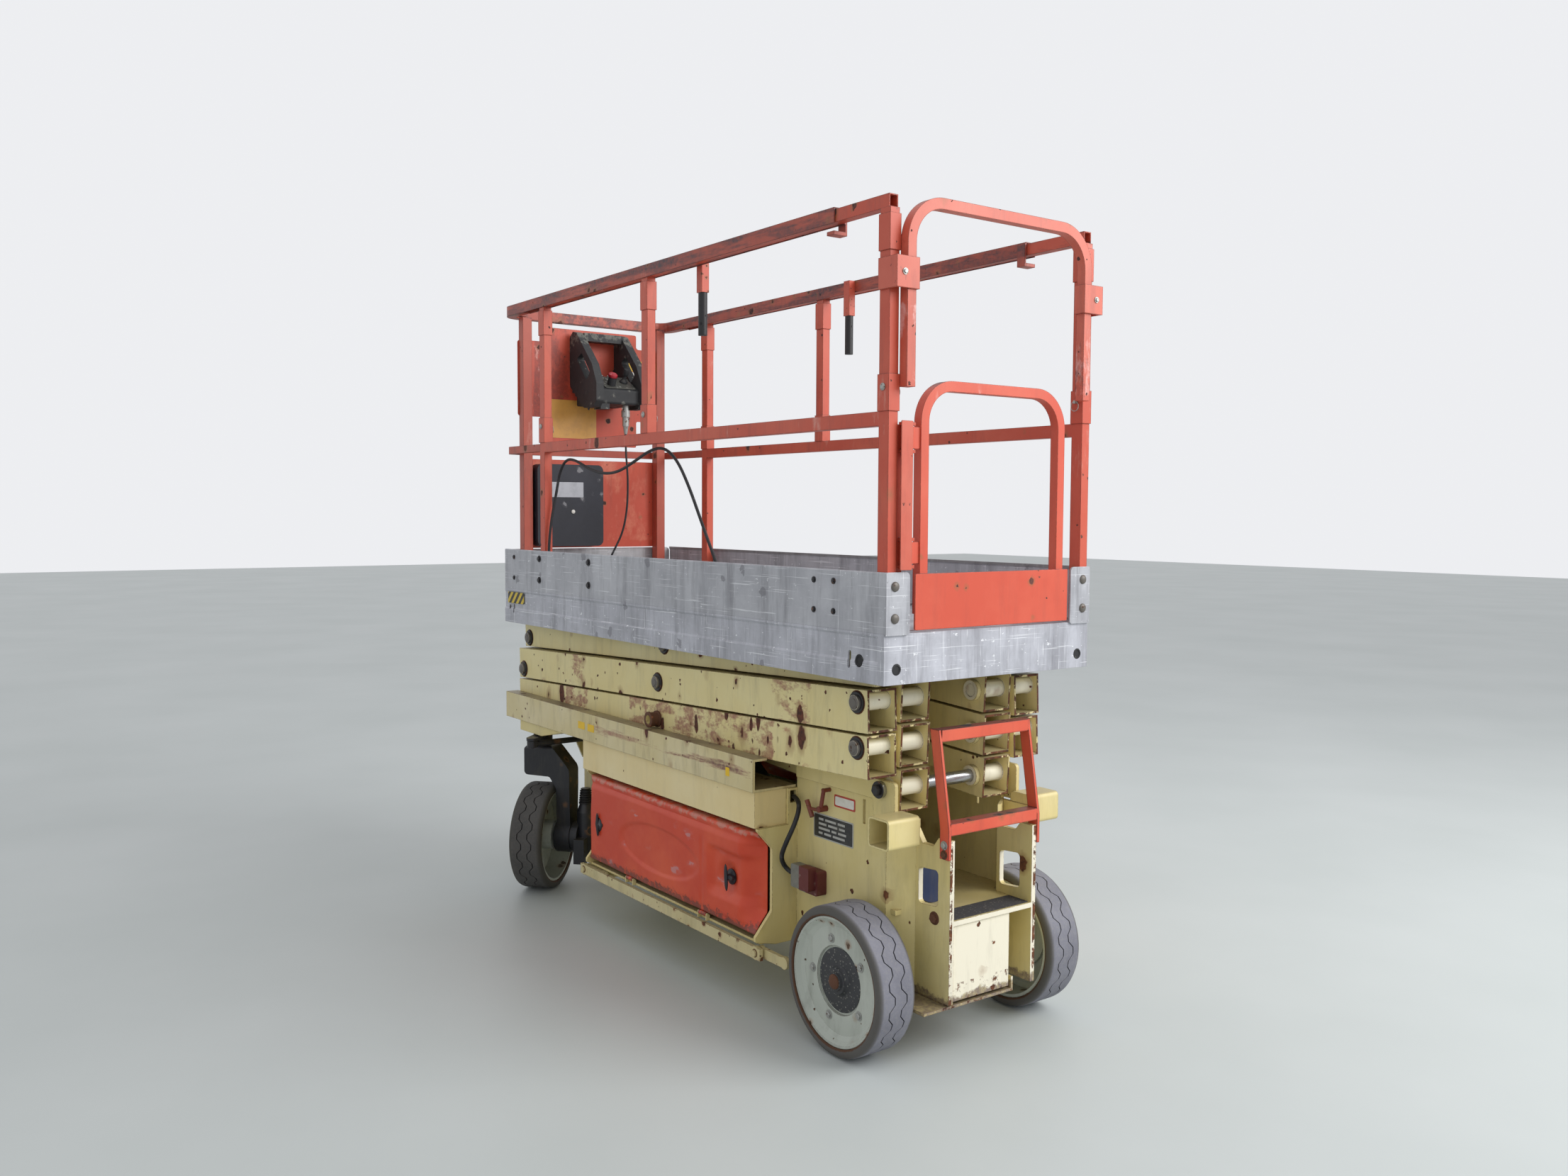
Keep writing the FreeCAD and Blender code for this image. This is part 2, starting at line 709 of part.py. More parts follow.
def battery_cover():
    """Moulded left cover, open towards the batteries: hollowed ends, a latch recess and two hinges."""
    x0 = bulkhead_rear_x + bulkhead_t + 6
    x1 = bulkhead_front_x - 6
    section = [(cover_in, cover_bottom_z), (cover_out - 5, cover_bottom_z), (cover_out, cover_bottom_z + 5),
               (cover_out, cover_top_z - 12), (cover_out - 12, cover_top_z), (cover_in, cover_top_z)]
    body = plate("yz", section, x0, x1 - x0)
    wall = cover_wall
    inside = [(cover_in - 1, cover_bottom_z + wall), (cover_out - wall - 2, cover_bottom_z + wall),
              (cover_out - wall, cover_bottom_z + wall + 2), (cover_out - wall, cover_top_z - wall - 10),
              (cover_out - wall - 10, cover_top_z - wall), (cover_in - 1, cover_top_z - wall)]
    shell = cut(body, [plate("yz", inside, x0 + wall, x1 - x0 - 2 * wall)])
    latch_x = x0 + 160
    latch_z = cover_bottom_z + 145
    recess = plate("xz", [(latch_x - 55, latch_z - 62), (latch_x + 55, latch_z - 62),
                          (latch_x + 55, latch_z + 62), (latch_x - 55, latch_z + 62)], cover_out - 20, 25, 20.0)
    cup = box(latch_x - 60, latch_x + 60, cover_out - 25, cover_out - 1, latch_z - 67, latch_z + 67)
    ends = [(x0, 1), (x1, -1)]
    backs = [end_hollow(x, toward, wall).common(body) for x, toward in ends]
    hollows = [end_hollow(x, toward, 0) for x, toward in ends]
    cover = cut(fuse([shell, cup] + backs), [recess] + hollows)
    knuckles = [rod((x - 20.7, cover_hinge_y, cover_hinge_z), (x + 20.7, cover_hinge_y, cover_hinge_z), 7)
                for x in cover_hinge_x]
    bores = [rod((x - 22, cover_hinge_y, cover_hinge_z), (x + 22, cover_hinge_y, cover_hinge_z), 3 + fit)
             for x in cover_hinge_x]
    return cut(fuse([cover] + knuckles), bores)


def guard_bars():
    """Pothole guard bars with their pin bosses, one along each side."""
    x0 = guard_rear_pin_x - 25
    x1 = guard_front_pin_x + 25
    bar = box(x0, x1, guard_out - guard_t, guard_out, guard_top_z - guard_height, guard_top_z)
    pins = []
    for x in [guard_rear_pin_x, guard_front_pin_x]:
        pins.append(cross_bar(x, guard_pin_z - 9, guard_out - 40, guard_out + 6, guard_pin_r))
        pins.append(cross_bar(x, guard_pin_z - 9, guard_out - guard_t, guard_out, 20))
    return pair(fuse([bar] + pins))


def guard_crank(x):
    """Cross shaft with a crank arm at each side that carries the guard bars."""
    pin_z = guard_pin_z - 9
    shaft_x = x - guard_crank_length
    shaft_z = pin_z
    y0 = guard_out - guard_t - 18
    arm_line = [(shaft_x, shaft_z), (x, pin_z)]
    arm = bent_bar("xz", arm_line, 0, 30, y0, 12)
    eye = cross_bar(x, pin_z, y0, y0 + 12, 18)
    root = cross_bar(shaft_x, shaft_z, y0, y0 + 12, 18)
    crank = cut(fuse([arm, eye, root]), [cross_bar(x, pin_z, y0 - 1, y0 + 13, guard_pin_r + fit)])
    return crank, shaft_x, shaft_z, y0


def guard_cranks(x, inner_y):
    """Left and right cranks on their own short shafts."""
    crank, shaft_x, shaft_z, y0 = guard_crank(x)
    shaft = cross_bar(shaft_x, shaft_z, inner_y, y0 + 1, 11)
    return pair(fuse([crank, shaft]))


def lift_cylinder():
    """Barrel and rod, drawn along X from the lower pin, then raised to their slope."""
    lean = math.radians(rest_angle)
    eye_x = rear_pin_x + cylinder_reach * math.cos(lean) - cylinder_pin_x
    eye_z = base_pin_z + cylinder_reach * math.sin(lean) - cylinder_pin_z
    length = math.hypot(eye_x, eye_z)
    slope = math.degrees(math.atan2(eye_z, eye_x))
    tube = rod((50, 0, 0), (barrel_length, 0, 0), barrel_r)
    tail = fuse([cross_bar(0, 0, -30, 30, 40), box(0, 60, -30, 30, -38, 38)])
    bore = rod((70, 0, 0), (barrel_length - 30, 0, 0), barrel_bore_r)
    gland = rod((barrel_length - 40, 0, 0), (barrel_length + 1, 0, 0), rod_r + fit)
    pin_bore = cross_bar(0, 0, -31, 31, cylinder_pin_r + fit)
    barrel = cut(fuse([tube, tail]), [bore, gland, pin_bore])
    bar = rod((barrel_length - 45 - cylinder_stroke, 0, 0), (length - 24, 0, 0), rod_r)
    eye = cross_bar(length, 0, -rod_eye_half, rod_eye_half, 40)
    eye_bore = cross_bar(length, 0, -rod_eye_half - 1, rod_eye_half + 1, cylinder_pin_r + fit)
    rod_end = cut(fuse([bar, eye]), [eye_bore])
    pieces = []
    for piece in [barrel, rod_end]:
        piece.rotate(V(0, 0, 0), V(0, -1, 0), slope)
        piece.translate(V(cylinder_pin_x, 0, cylinder_pin_z))
        pieces.append(piece)
    return pieces


def rear_wheel_place(shape, side):
    """Left wheel as drawn, or mirrored for the right."""
    return shape if side == "left" else mirrored(shape)


def tyre_profile():
    """Section of the solid tyre: distance along the axle and radius."""
    half = tyre_width / 2
    return [(-half + 3, rim_r), (-half, rim_r + 7), (-half, wheel_r - 11), (-half + 12, wheel_r),
            (half - 12, wheel_r), (half, wheel_r - 11), (half, rim_r + 7), (half - 3, rim_r)]


def tyre(x):
    """Solid tyre of the left wheel, at the wheel's place when it points straight on."""
    ring = turned(tyre_profile(), x, wheel_r)
    ring.translate(V(0, wheel_y, 0))
    return ring


def hub(x):
    """Dished steel rim, hub plate and cap of the left wheel."""
    edge = rim_r - 0.2
    rim_section = [(-57, edge), (57, edge), (57, 168), (45, 158), (38, 146), (38, 93), (30, 93),
                   (30, 150), (20, 165), (-57, 165)]
    rim = turned(rim_section, x, wheel_r)
    disc_plate = turned([(20, axle_r + fit), (31, axle_r + fit), (31, 97), (20, 97)], x, wheel_r)
    barrel = turned([(-50, axle_r + fit), (20.5, axle_r + fit), (20.5, 55), (-50, 55)], x, wheel_r)
    cap = turned([(30, 0), (52, 0), (52, 16), (46, 24), (46, 34), (30, 34)], x, wheel_r)
    wheel = fuse([rim, disc_plate, barrel, cap])
    wheel.translate(V(0, wheel_y, 0))
    return wheel


def knuckle():
    """Left steering knuckle: casting over and beside the tyre, spindle, drive motor and steering arm."""
    x = front_axle_x
    y = wheel_y
    half = knuckle_half
    top = knuckle_top_z
    low = wheel_r - 53
    profile = plate("yz", [(y + 58, knuckle_bottom_z), (y + 58, top), (y - 52, top), (y - 124, top - 88),
                           (y - 124, low), (y - 70, low), (y - 70, knuckle_bottom_z - 50),
                           (y - 44, knuckle_bottom_z - 6)], x - half, 2 * half,
                           [16, 16, 24, 40, 12, 12, 40, 14])
    taper = plate("xz", [(x - half, top), (x + half, top), (x + half, 400), (x + half - 6, 280), (x + 30, low),
                         (x - 30, low), (x - half + 6, 280), (x - half, 400)], y - 130, 200,
                  [14, 14, 60, 60, 24, 24, 60, 60])
    casting = profile.common(taper)
    hub_flange = cross_bar(x, wheel_r, y - 124, y - tyre_width / 2, hub_flange_r)
    spindle = cross_bar(x, wheel_r, y - 64, y + 29, axle_r)
    drive = cross_bar(x, wheel_r, y - 152, y - 123, 56)
    motor_y = y - 172
    motor = rod((x, motor_y, wheel_r - 75), (x, motor_y, wheel_r + 97), 34)
    motor_cap = Part.makeCone(34, 22, 34, V(x, motor_y, wheel_r + 97), V(0, 0, 1))
    boot = rod((x, motor_y, wheel_r + 130), (x, motor_y, wheel_r + 189), 17)
    terminal_box = box(x - 74, x - 20, y - 190, y - 148, wheel_r - 91, wheel_r + 3)
    kingpin = rod((x, y, top - 1), (x, y, channel_bottom_z - 6), kingpin_r)
    washer = rod((x, y, top - 1), (x, y, mount_bottom_z - fit), 36)
    arm = bent_bar("xy", [(x - 20, y), (x - steer_arm, y)], 0, 44, steer_arm_z, 10)
    arm_end = rod((x - steer_arm, y, steer_arm_z), (x - steer_arm, y, steer_arm_z + 10), 22)
    ball_pin = rod((x - steer_arm, y, tie_rod_z - 16), (x - steer_arm, y, steer_arm_z + 5), 8)
    return fuse([casting, hub_flange, spindle, drive, motor, motor_cap, boot, terminal_box, kingpin, washer,
                 arm, arm_end, ball_pin])


def steered(shape, side):
    """Left piece, or its mirror on the right, turned about its kingpin to the parked angle."""
    placed = shape.copy() if side == "left" else mirrored(shape)
    y = wheel_y if side == "left" else -wheel_y
    placed.rotate(V(front_axle_x, y, 0), V(0, 0, 1), steer_angle)
    return placed


def tie_rod():
    """Rod between the two steering arms."""
    angle = math.radians(steer_angle)
    x = front_axle_x - steer_arm * math.cos(angle)
    shift = -steer_arm * math.sin(angle)
    left = (x, wheel_y + shift)
    right = (x, -wheel_y + shift)
    bar = rod((x, right[1], tie_rod_z), (x, left[1], tie_rod_z), tie_rod_r)
    pieces = [bar]
    bores = []
    for px, py in [left, right]:
        pieces.append(rod((px, py, tie_rod_z - 12), (px, py, tie_rod_z + 12), 20))
        bores.append(rod((px, py, tie_rod_z - 20), (px, py, tie_rod_z + 20), 8 + fit))
    return [cut(fuse(pieces), bores)]


def deck_frame():
    """Aluminium deck: sheet with its raised tread, hollow side extrusions, end members and cross ribs."""
    sheet_z = deck_z - deck_sheet
    inner = platform_side - side_wall
    sheet = box(-platform_end + 20, platform_end, -inner - 1, inner + 1, sheet_z, deck_z)
    profile = [(platform_side, skirt_z), (platform_side, skirt_z + 52), (platform_side - 3, skirt_z + 58),
               (platform_side - 3, deck_z - 12), (platform_side, deck_z - 6), (platform_side, deck_z),
               (inner, deck_z), (inner, deck_z - 10), (platform_side - 8, deck_z - 16),
               (platform_side - 8, skirt_z + 12), (inner, skirt_z + 10), (inner, skirt_z)]
    side = plate("yz", profile, -platform_end + 1, platform_length - 1)
    hole_z = skirt_z + 55
    slot_x = -platform_end + 134
    side_holes = [plate("xz", [(slot_x, hole_z - 22), (slot_x + 12, hole_z - 22), (slot_x + 12, hole_z + 24),
                               (slot_x, hole_z + 24)], platform_side - 60, 80, 5.9),
                  cross_bar(-platform_end + 100, hole_z, platform_side - 60, platform_side + 20, 17),
                  plate("xz", [(platform_end - 85, hole_z - 18), (platform_end - 74, hole_z - 18),
                               (platform_end - 74, hole_z + 18), (platform_end - 85, hole_z + 18)],
                        platform_side - 60, 80, 5.4),
                  cross_bar(platform_end - 43, hole_z + 5, platform_side - 60, platform_side + 20, 9)]
    side = cut(side, side_holes)
    rear_end = box(-platform_end, -platform_end + 24, -platform_side, platform_side, skirt_z, deck_z)
    rear_hollow = box(-platform_end + 6, -platform_end + 30, -inner, inner, skirt_z + 8, sheet_z)
    hole_y = platform_side - 42
    rear_holes = pair(rod((-platform_end - 5, hole_y, skirt_z + 39),
                          (-platform_end + 40, hole_y, skirt_z + 39), 15))
    rear_end = cut(rear_end, [rear_hollow] + rear_holes)
    front_end = box(platform_end - 5, platform_end, -inner - 1, inner + 1, skirt_z + 20, deck_z)
    ribs = []
    for place in [330, 590, 850]:
        x = -platform_end + place
        ribs.append(box(x, x + 8, -90, 90, deck_z - 41, sheet_z + 1))
    tread = box(-platform_end + 50, extension_rear_x - 8, -300, 300, sheet_z + 1, deck_z + tread_rise)
    return fuse([sheet, rear_end, front_end, tread] + pair(side) + ribs)


def platform_hangers():
    """Lugs that seat the platform on the top arms and the channels of the upper blocks."""
    sheet_z = deck_z - deck_sheet
    pieces = []
    for y0, y1 in [(hanger_in(), hanger_in() + 10), (top_outer_arm_out + 3, top_outer_arm_out + 13)]:
        lug = plate("xz", [(rear_pin_x - 60, sheet_z), (rear_pin_x - 30, top_pin_z - 32),
                           (rear_pin_x + 30, top_pin_z - 32), (rear_pin_x + 60, sheet_z)],
                    y0, y1 - y0, [0, 26, 26, 0])
        lug = cut(lug, [cross_bar(rear_pin_x, top_pin_z, y0 - 1, y1 + 1, arm_pin_r + fit)])
        pieces += pair(lug)
    z0 = platform_channel_z0
    z1 = platform_channel_z1
    y0 = block_in() - 6
    x0 = rear_pin_x + span * 0.42
    x1 = platform_end - 5 - fit
    web = box(x0, x1, y0, y0 + 6, z0, z1)
    flanges = [box(x0, x1, y0, inner_arm_in - boss_length, z0, z0 + 6),
               box(x0, x1, y0, inner_arm_in - boss_length, z1 - 6, z1)]
    channel = fuse([web] + flanges)
    hangers = [box(x, x + 8, y0, inner_arm_in - boss_length, z1 - 1, sheet_z)
               for x in [x0 + 20, x0 + 560, x1 - 30]]
    pieces += pair(fuse([channel] + hangers))
    return pieces


def toe_boards():
    """Side toe boards with a rolled top edge, and the corner castings at the entry."""
    outer = platform_side - 1
    lip = rail_side + fit
    profile = [(outer, deck_z), (outer, toe_z - 3), (outer - 2, toe_z), (lip, toe_z), (lip, toe_z - 8),
               (outer - 4, toe_z - 12), (outer - 4, deck_z + 8), (lip, deck_z + 6), (lip, deck_z)]
    board = plate("yz", profile, -platform_end - 2, platform_length + 2)
    corner = plate("yz", [(300, deck_z - 4), (outer, deck_z - 4), (outer, toe_z), (300, toe_z)],
                   -platform_end - 6, 5.7, [8, 0, 6, 14])
    return pair(fuse([board, corner]))


def side_rails():
    """Fixed rails: posts, hollow mid rail and the inner tube of the top rail."""
    y0 = rail_side - post_width
    y1 = rail_side
    top_z = rail_top - channel_wall - slide_play
    under_rail_z = rail_top - 38
    tube_top = box_tube(-platform_end + 6, front_post_x + post_depth / 2, y0 + 0.5, y1 - 0.5,
                        under_rail_z, top_z, channel_wall)
    rear_post_x = -platform_end + post_depth / 2
    posts = []
    for x, z in [(rear_post_x, deck_z), (front_post_x, deck_z), (half_post_x, mid_rail_top - 20)]:
        posts.append(box(x - post_depth / 2, x + post_depth / 2, y0, y1, z, under_rail_z + 1))
    mid = box(rear_post_x, front_post_x + post_depth / 2, y0, y1, mid_rail_top - 36, mid_rail_top)
    knees = []
    for x in [rear_post_x, front_post_x, half_post_x]:
        knees.append(box(x - 22, x + 22, y0 - 3, y1 + 3, mid_rail_top, mid_rail_top + 92))
        knees.append(box(x - 22, x + 22, y0 - 3, y1 + 3, rail_top - 142, rail_top - 52))
    bore = box(rear_post_x + 30, front_post_x + 30, y0 + 3, y1 - 3, mid_rail_top - 33, mid_rail_top - 3)
    return pair(cut(fuse([tube_top, mid] + posts + knees), [bore]))


def entry_hoop():
    """Upper hoop across the entry and the clamps that hold it to the rear posts."""
    x1 = -platform_end - fit
    leg_y = rail_side - 48
    foot = mid_rail_top + 60
    top = rail_top - 16
    path = [(leg_y, foot), (leg_y, top), (-leg_y, top), (-leg_y, foot)]
    hoop = bent_bar("yz", path, 105, 28, x1 - 28, 28)
    clamps = []
    z0 = rail_top - 238
    z1 = rail_top - 160
    inner = leg_y - 20
    outer = rail_side + fit
    for x_end, low, high in [(x1 - 27, inner, outer + 5), (x1 + 4, inner, inner + 6),
                             (x1 + 38, outer, outer + 6)]:
        clamps += pair(box(x1 - 34, x_end, low, high, z0, z1))
    return [fuse([hoop] + clamps)]


gate_hinge_x = -platform_end - 4.0
gate_hinge_y = 300.0
gate_hinge_heights = [toe_z + 21, mid_rail_top - 92]


def gate():
    """Swing gate: bent tube frame, orange kick plate and hinge barrels."""
    tube = 27.0
    leg = 253.0
    x0 = -platform_end - 4
    foot = deck_z + 47
    top = mid_rail_top + 72
    path = [(leg, foot), (leg, top), (-leg, top), (-leg, foot)]
    frame = bent_bar("yz", path, 95, tube, x0, tube)
    kick_side = leg + 31
    kick = plate("yz", [(-kick_side, deck_z + 7), (kick_side, deck_z + 7), (kick_side, toe_z - 5),
                        (-kick_side, toe_z - 5)], x0 - 4, 5, 4.0)
    ears = []
    for z in gate_hinge_heights:
        ears.append(rod((gate_hinge_x, gate_hinge_y, z), (gate_hinge_x, gate_hinge_y, z + 55), 9))
        ears.append(box(x0 + 4, x0 + 12, leg, gate_hinge_y, z, z + 55))
    body = fuse([frame, kick] + ears)
    bore = rod((gate_hinge_x, gate_hinge_y, foot), (gate_hinge_x, gate_hinge_y, mid_rail_top), 5 + fit)
    return [cut(body, [bore])]


def gate_post():
    """Stop post beside the left rear post with the hinge pins of the gate."""
    y0 = rail_side - post_width
    post = box(-platform_end + 8, -platform_end + 24, y0 - 24, y0 - fit, toe_z - 100, mid_rail_top - 32)
    pins = []
    for z in gate_hinge_heights:
        pins.append(rod((gate_hinge_x, gate_hinge_y, z - 14), (gate_hinge_x, gate_hinge_y, z + 69), 5))
        for zz in [z - 12, z + 57]:
            pins.append(box(gate_hinge_x - 8, -platform_end + 9, gate_hinge_y - 8, y0 - 12, zz, zz + 9))
    return [fuse([post] + pins)]


def extension_deck():
    """Sliding deck sheet with side runners and the front toe board."""
    inner = rail_side - post_width - clear
    z0 = deck_z + clear
    sheet = box(extension_rear_x, extension_front_x + 2, -inner, inner, z0, z0 + extension_sheet)
    toe_side = platform_side - 8
    toe = plate("yz", [(-toe_side, deck_z + clear), (toe_side, deck_z + clear), (toe_side, toe_z - 2),
                       (-toe_side, toe_z - 2)], extension_front_x, 10, [0, 0, 16, 16])
    runners = pair(box(extension_rear_x, extension_front_x - 60, inner - 30, inner, deck_z + fit, z0 + 1))
    return [fuse([sheet, toe] + runners)]


def extension_rails():
    """Moving rails: top channels over the fixed tubes, bent front tubes and corner posts."""
    outer = rail_side + channel_wall + slide_play - 0.5
    inner = rail_side - post_width - channel_wall - slide_play + 0.5
    z0 = rail_top - 40
    channel = cut(box(channel_rear_x, channel_front_x, inner, outer, z0, rail_top),
                  [box(channel_rear_x - 1, channel_front_x + 1, inner + channel_wall, outer - channel_wall,
                       z0 - 1, rail_top - channel_wall)])
    stop = box(channel_rear_x, channel_rear_x + 30, inner - 6, inner, z0 - 26, rail_top - 4)
    stop_foot = box(channel_rear_x, channel_rear_x + 30, inner - 6, outer, z0 - 30, z0 - 20)
    centre = (inner + outer) / 2
    width = outer - inner
    x_front = front_rail_x - width / 2
    top_path = [(channel_front_x - 1, centre), (x_front, centre), (x_front, -centre),
                (channel_front_x - 1, -centre)]
    top_bend = bent_bar("xy", top_path, 60, width, rail_top - 38, 38)
    y_mid = rail_side - post_width / 2
    mid_front_x = front_rail_x - 16
    mid_rear_x = half_post_x - 312
    mid_path = [(mid_rear_x, y_mid), (mid_front_x, y_mid), (mid_front_x, -y_mid), (mid_rear_x, -y_mid)]
    mid_bend = bent_bar("xy", mid_path, 50, 22, mid_rail_top - 32, 28)
    post = box(front_post_face - post_depth, front_post_face, rail_side - 90, rail_side - 52,
               deck_z + clear + extension_sheet, rail_top - 37)
    stubs = []
    for z in [rail_top - 5, mid_rail_top - 6]:
        stubs += pair(box(front_post_face - 1, front_rail_x - 24, rail_side - 85, rail_side - 57, z - 24, z))
    return [fuse(pair(channel) + pair(stop) + pair(stop_foot) + [top_bend, mid_bend] + pair(post) + stubs)]


def front_panel():
    """Orange sheets on the front posts: lower panel and the notched upper panel."""
    x0 = front_post_face
    side = rail_side - 72
    foot = mid_rail_top - 48
    lower = plate("yz", [(-side, toe_z + 2), (side, toe_z + 2), (side, foot), (-side, foot)], x0, 4, 10.0)
    neck = rail_side - 167
    wing = rail_side - 47
    bottom = mid_rail_top + 12
    wing_bottom = bottom + 108
    top = rail_top - 62
    wing_top = top - 58
    upper_outline = [(-neck, bottom), (neck, bottom), (neck, wing_bottom), (wing, wing_bottom),
                     (wing, wing_top),
                     (neck, wing_top), (neck, top), (-neck, top), (-neck, wing_top), (-wing, wing_top),
                     (-wing, wing_bottom), (-neck, wing_bottom)]
    radii = [8, 8, 8, 12, 12, 12, 8, 8, 12, 12, 12, 8]
    upper = plate("yz", upper_outline, x0, 4, radii)
    return [lower, upper]


def control_box():
    """Platform control box in its bumper frame, hung on the upper front panel."""
    x = front_post_face
    z = rail_top
    case = plate("xz", [(x - 208, z - 369), (x - 1, z - 369), (x - 1, z - 250), (x - 108, z - 255),
                        (x - 208, z - 313)],
                 -101, 170, [10, 10, 10, 30, 10])
    cheek = [(x - 200, z - 384), (x - 228, z - 360), (x - 228, z - 290), (x - 190, z - 215), (x - 60, z - 82),
             (x - 28, z - 74), (x - 1, z - 96), (x - 1, z - 290), (x - 122, z - 384)]
    cheek_hole = [(x - 103, z - 165), (x - 174, z - 246), (x - 143, z - 276), (x - 62, z - 186)]
    cheeks = []
    for y in [68, -132]:
        side = plate("xz", cheek, y, 32, [14, 10, 20, 30, 14, 10, 14, 24, 24])
        cheeks.append(cut(side, [plate("xz", cheek_hole, y - 1, 34, 10.0)]))
    crossbar = box(x - 70, x - 20, -101, 69, z - 112, z - 80)
    button = rod((x - 172, 8, z - 302), (x - 190, 8, z - 264), 17)
    foot = box(x - 205, x - 150, 30, 69, z - 390, z - 368)
    return [fuse([case, crossbar, button, foot] + cheeks)]


connector_x = front_post_face - 168.0
connector_y = -62.0
connector_z = rail_top - 369.0
connector_length = 82.0
connector_boot = 32.0


def control_connector():
    """Round connector under the control box, with its cable boot."""
    x = connector_x
    y = connector_y
    z = connector_z
    end_z = z - connector_length
    top = rod((x, y, z), (x, y, end_z), 13)
    ring = rod((x, y, z - 20), (x, y, z - 46), 17)
    boot = Part.makeCone(11, 6, connector_boot, V(x, y, end_z), V(0, 0, -1))
    return [fuse([top, ring, boot])]


def document_box():
    """Black box for papers on the inside of the lower front panel."""
    low = toe_z + 9
    high = mid_rail_top - 68
    body = plate("yz", [(-18, low), (272, low), (272, high), (-18, high)], front_post_face - 60, 60 - fit, 24.0)
    return [body]


def deck_handles():
    """Two hanging handles that release and push the extension."""
    inner = rail_side - post_width - channel_wall - slide_play + 0.5
    pieces = []
    for side, x in [(1, half_post_x - 277), (-1, half_post_x - 187)]:
        low, high = sorted([side * (inner - 0.3), side * (inner - 26)])
        bracket = box(x - 15, x + 15, low, high, rail_top - 120, rail_top - 2)
        grip = rod((x, (low + high) / 2, rail_top - 250), (x, (low + high) / 2, rail_top - 110), 14)
        pieces.append(fuse([bracket, grip]))
    return pieces


def chassis_cable():
    """Battery lead from the slot in the rear bulkhead to its plug."""
    route = [(-583, 239, 622), (-614, 243, 618), (-640, 262, 590), (-646, 288, 546), (-632, 304, 500),
             (-598, 298, 448), (-597, 268, 406), (-629 + fit, 268, 406)]
    return cord(route, chassis_cable_r, "chassis_cable")


def control_cable():
    """Cable that hangs from the connector to the extension deck."""
    top = connector_z - connector_length - connector_boot - fit
    foot = deck_z + clear + extension_sheet + fit
    bends = [(0, 0, 0.0), (0, 0, 0.12), (-8, -4, 0.25), (-10, -4, 0.38), (-12, 2, 0.51), (-8, 18, 0.65),
             (4, 48, 0.76), (14, 76, 0.86), (14, 76, 1.0)]
    route = [(connector_x + dx, connector_y + dy, top - share * (top - foot)) for dx, dy, share in bends]
    return cord(route, control_cable_r, "control_cable")


def rail_cable():
    """Cable tied under the left mid rail: up from the deck, a sag, a hump and down again."""
    rise = mid_rail_top - deck_z - fit
    bends = [(-31, -8, 0.0), (-31, -8, 0.17), (-33, -10, 0.35), (-37, -20, 0.51), (-41, -36, 0.66),
             (-59, -41, 0.80),
             (-111, -41, 0.885), (-183, -41, 0.88), (-283, -42, 0.82), (-393, -42, 0.78), (-503, -42, 0.785),
             (-613, -41, 0.84), (-723, -41, 0.905), (-813, -41, 0.92), (-893, -42, 0.845), (-963, -44, 0.69),
             (-1023, -48, 0.51), (-1085, -54, 0.32), (-1141, -60, 0.155), (-1147, -61, 0.0)]
    route = [(front_post_x + dx, rail_side + dy, deck_z + fit + share * rise) for dx, dy, share in bends]
    return cord(route, rail_cable_r, "rail_cable")


os.makedirs("parts", exist_ok=True)

save("chassis_frame", [chassis_frame()])
save("slide_channels", slide_channels())
save("side_boxes", side_boxes())
save("base_pivot_shaft", [base_pivot_shaft()])
save("rear_axles", rear_axles())
save("battery_pack", battery_pack())
save("pump_motor", pump_motor())
save("ladder", ladder())
save("battery_connector", battery_connector())
save("lowering_handle", lowering_handle())
save("chassis_cable", [chassis_cable()])

left_cover = battery_cover()
save("battery_cover_left", [left_cover])
save("battery_cover_right", [mirrored(left_cover)])

save("guard_bars", guard_bars())
save("guard_cranks_rear", guard_cranks(guard_rear_pin_x, side_plate_out + 1))
save("guard_cranks_front", guard_cranks(guard_front_pin_x, spine_out + 1))

for level in range(1, level_count + 1):
    save("inner_arms_" + str(level), [inner_arms(level)])
    save("outer_arms_" + str(level), outer_arms(level))
save("lower_slide_blocks", lower_slide_blocks())
save("upper_slide_blocks", upper_slide_blocks())

barrel_piece, rod_piece = lift_cylinder()
save("lift_barrel", [barrel_piece])
save("lift_rod", [rod_piece])

for side in ["left", "right"]:
    save("rear_tyre_" + side, [rear_wheel_place(tyre(rear_axle_x), side)])
    save("rear_hub_" + side, [rear_wheel_place(hub(rear_axle_x), side)])
    save("front_tyre_" + side, [steered(tyre(front_axle_x), side)])
    save("front_hub_" + side, [steered(hub(front_axle_x), side)])
    save("knuckle_" + side, [steered(knuckle(), side)])
save("tie_rod", tie_rod())

save("deck_frame", [deck_frame()])
save("platform_hangers", platform_hangers())
save("toe_boards", toe_boards())
save("side_rails", side_rails())
save("entry_hoop", entry_hoop())
save("gate_post", gate_post())
save("gate", gate())
save("extension_deck", extension_deck())
save("extension_rails", extension_rails())
save("front_panel", front_panel())
save("control_box", control_box())
save("control_connector", control_connector())
save("document_box", document_box())
save("deck_handles", deck_handles())
save("control_cable", [control_cable()])
save("rail_cable", [rail_cable()])
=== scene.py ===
"""Looks of an electric slab scissor lift with worn cream and orange paint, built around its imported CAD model."""
import math

import bmesh
import bpy
import numpy as np
from mathutils import Matrix, Vector


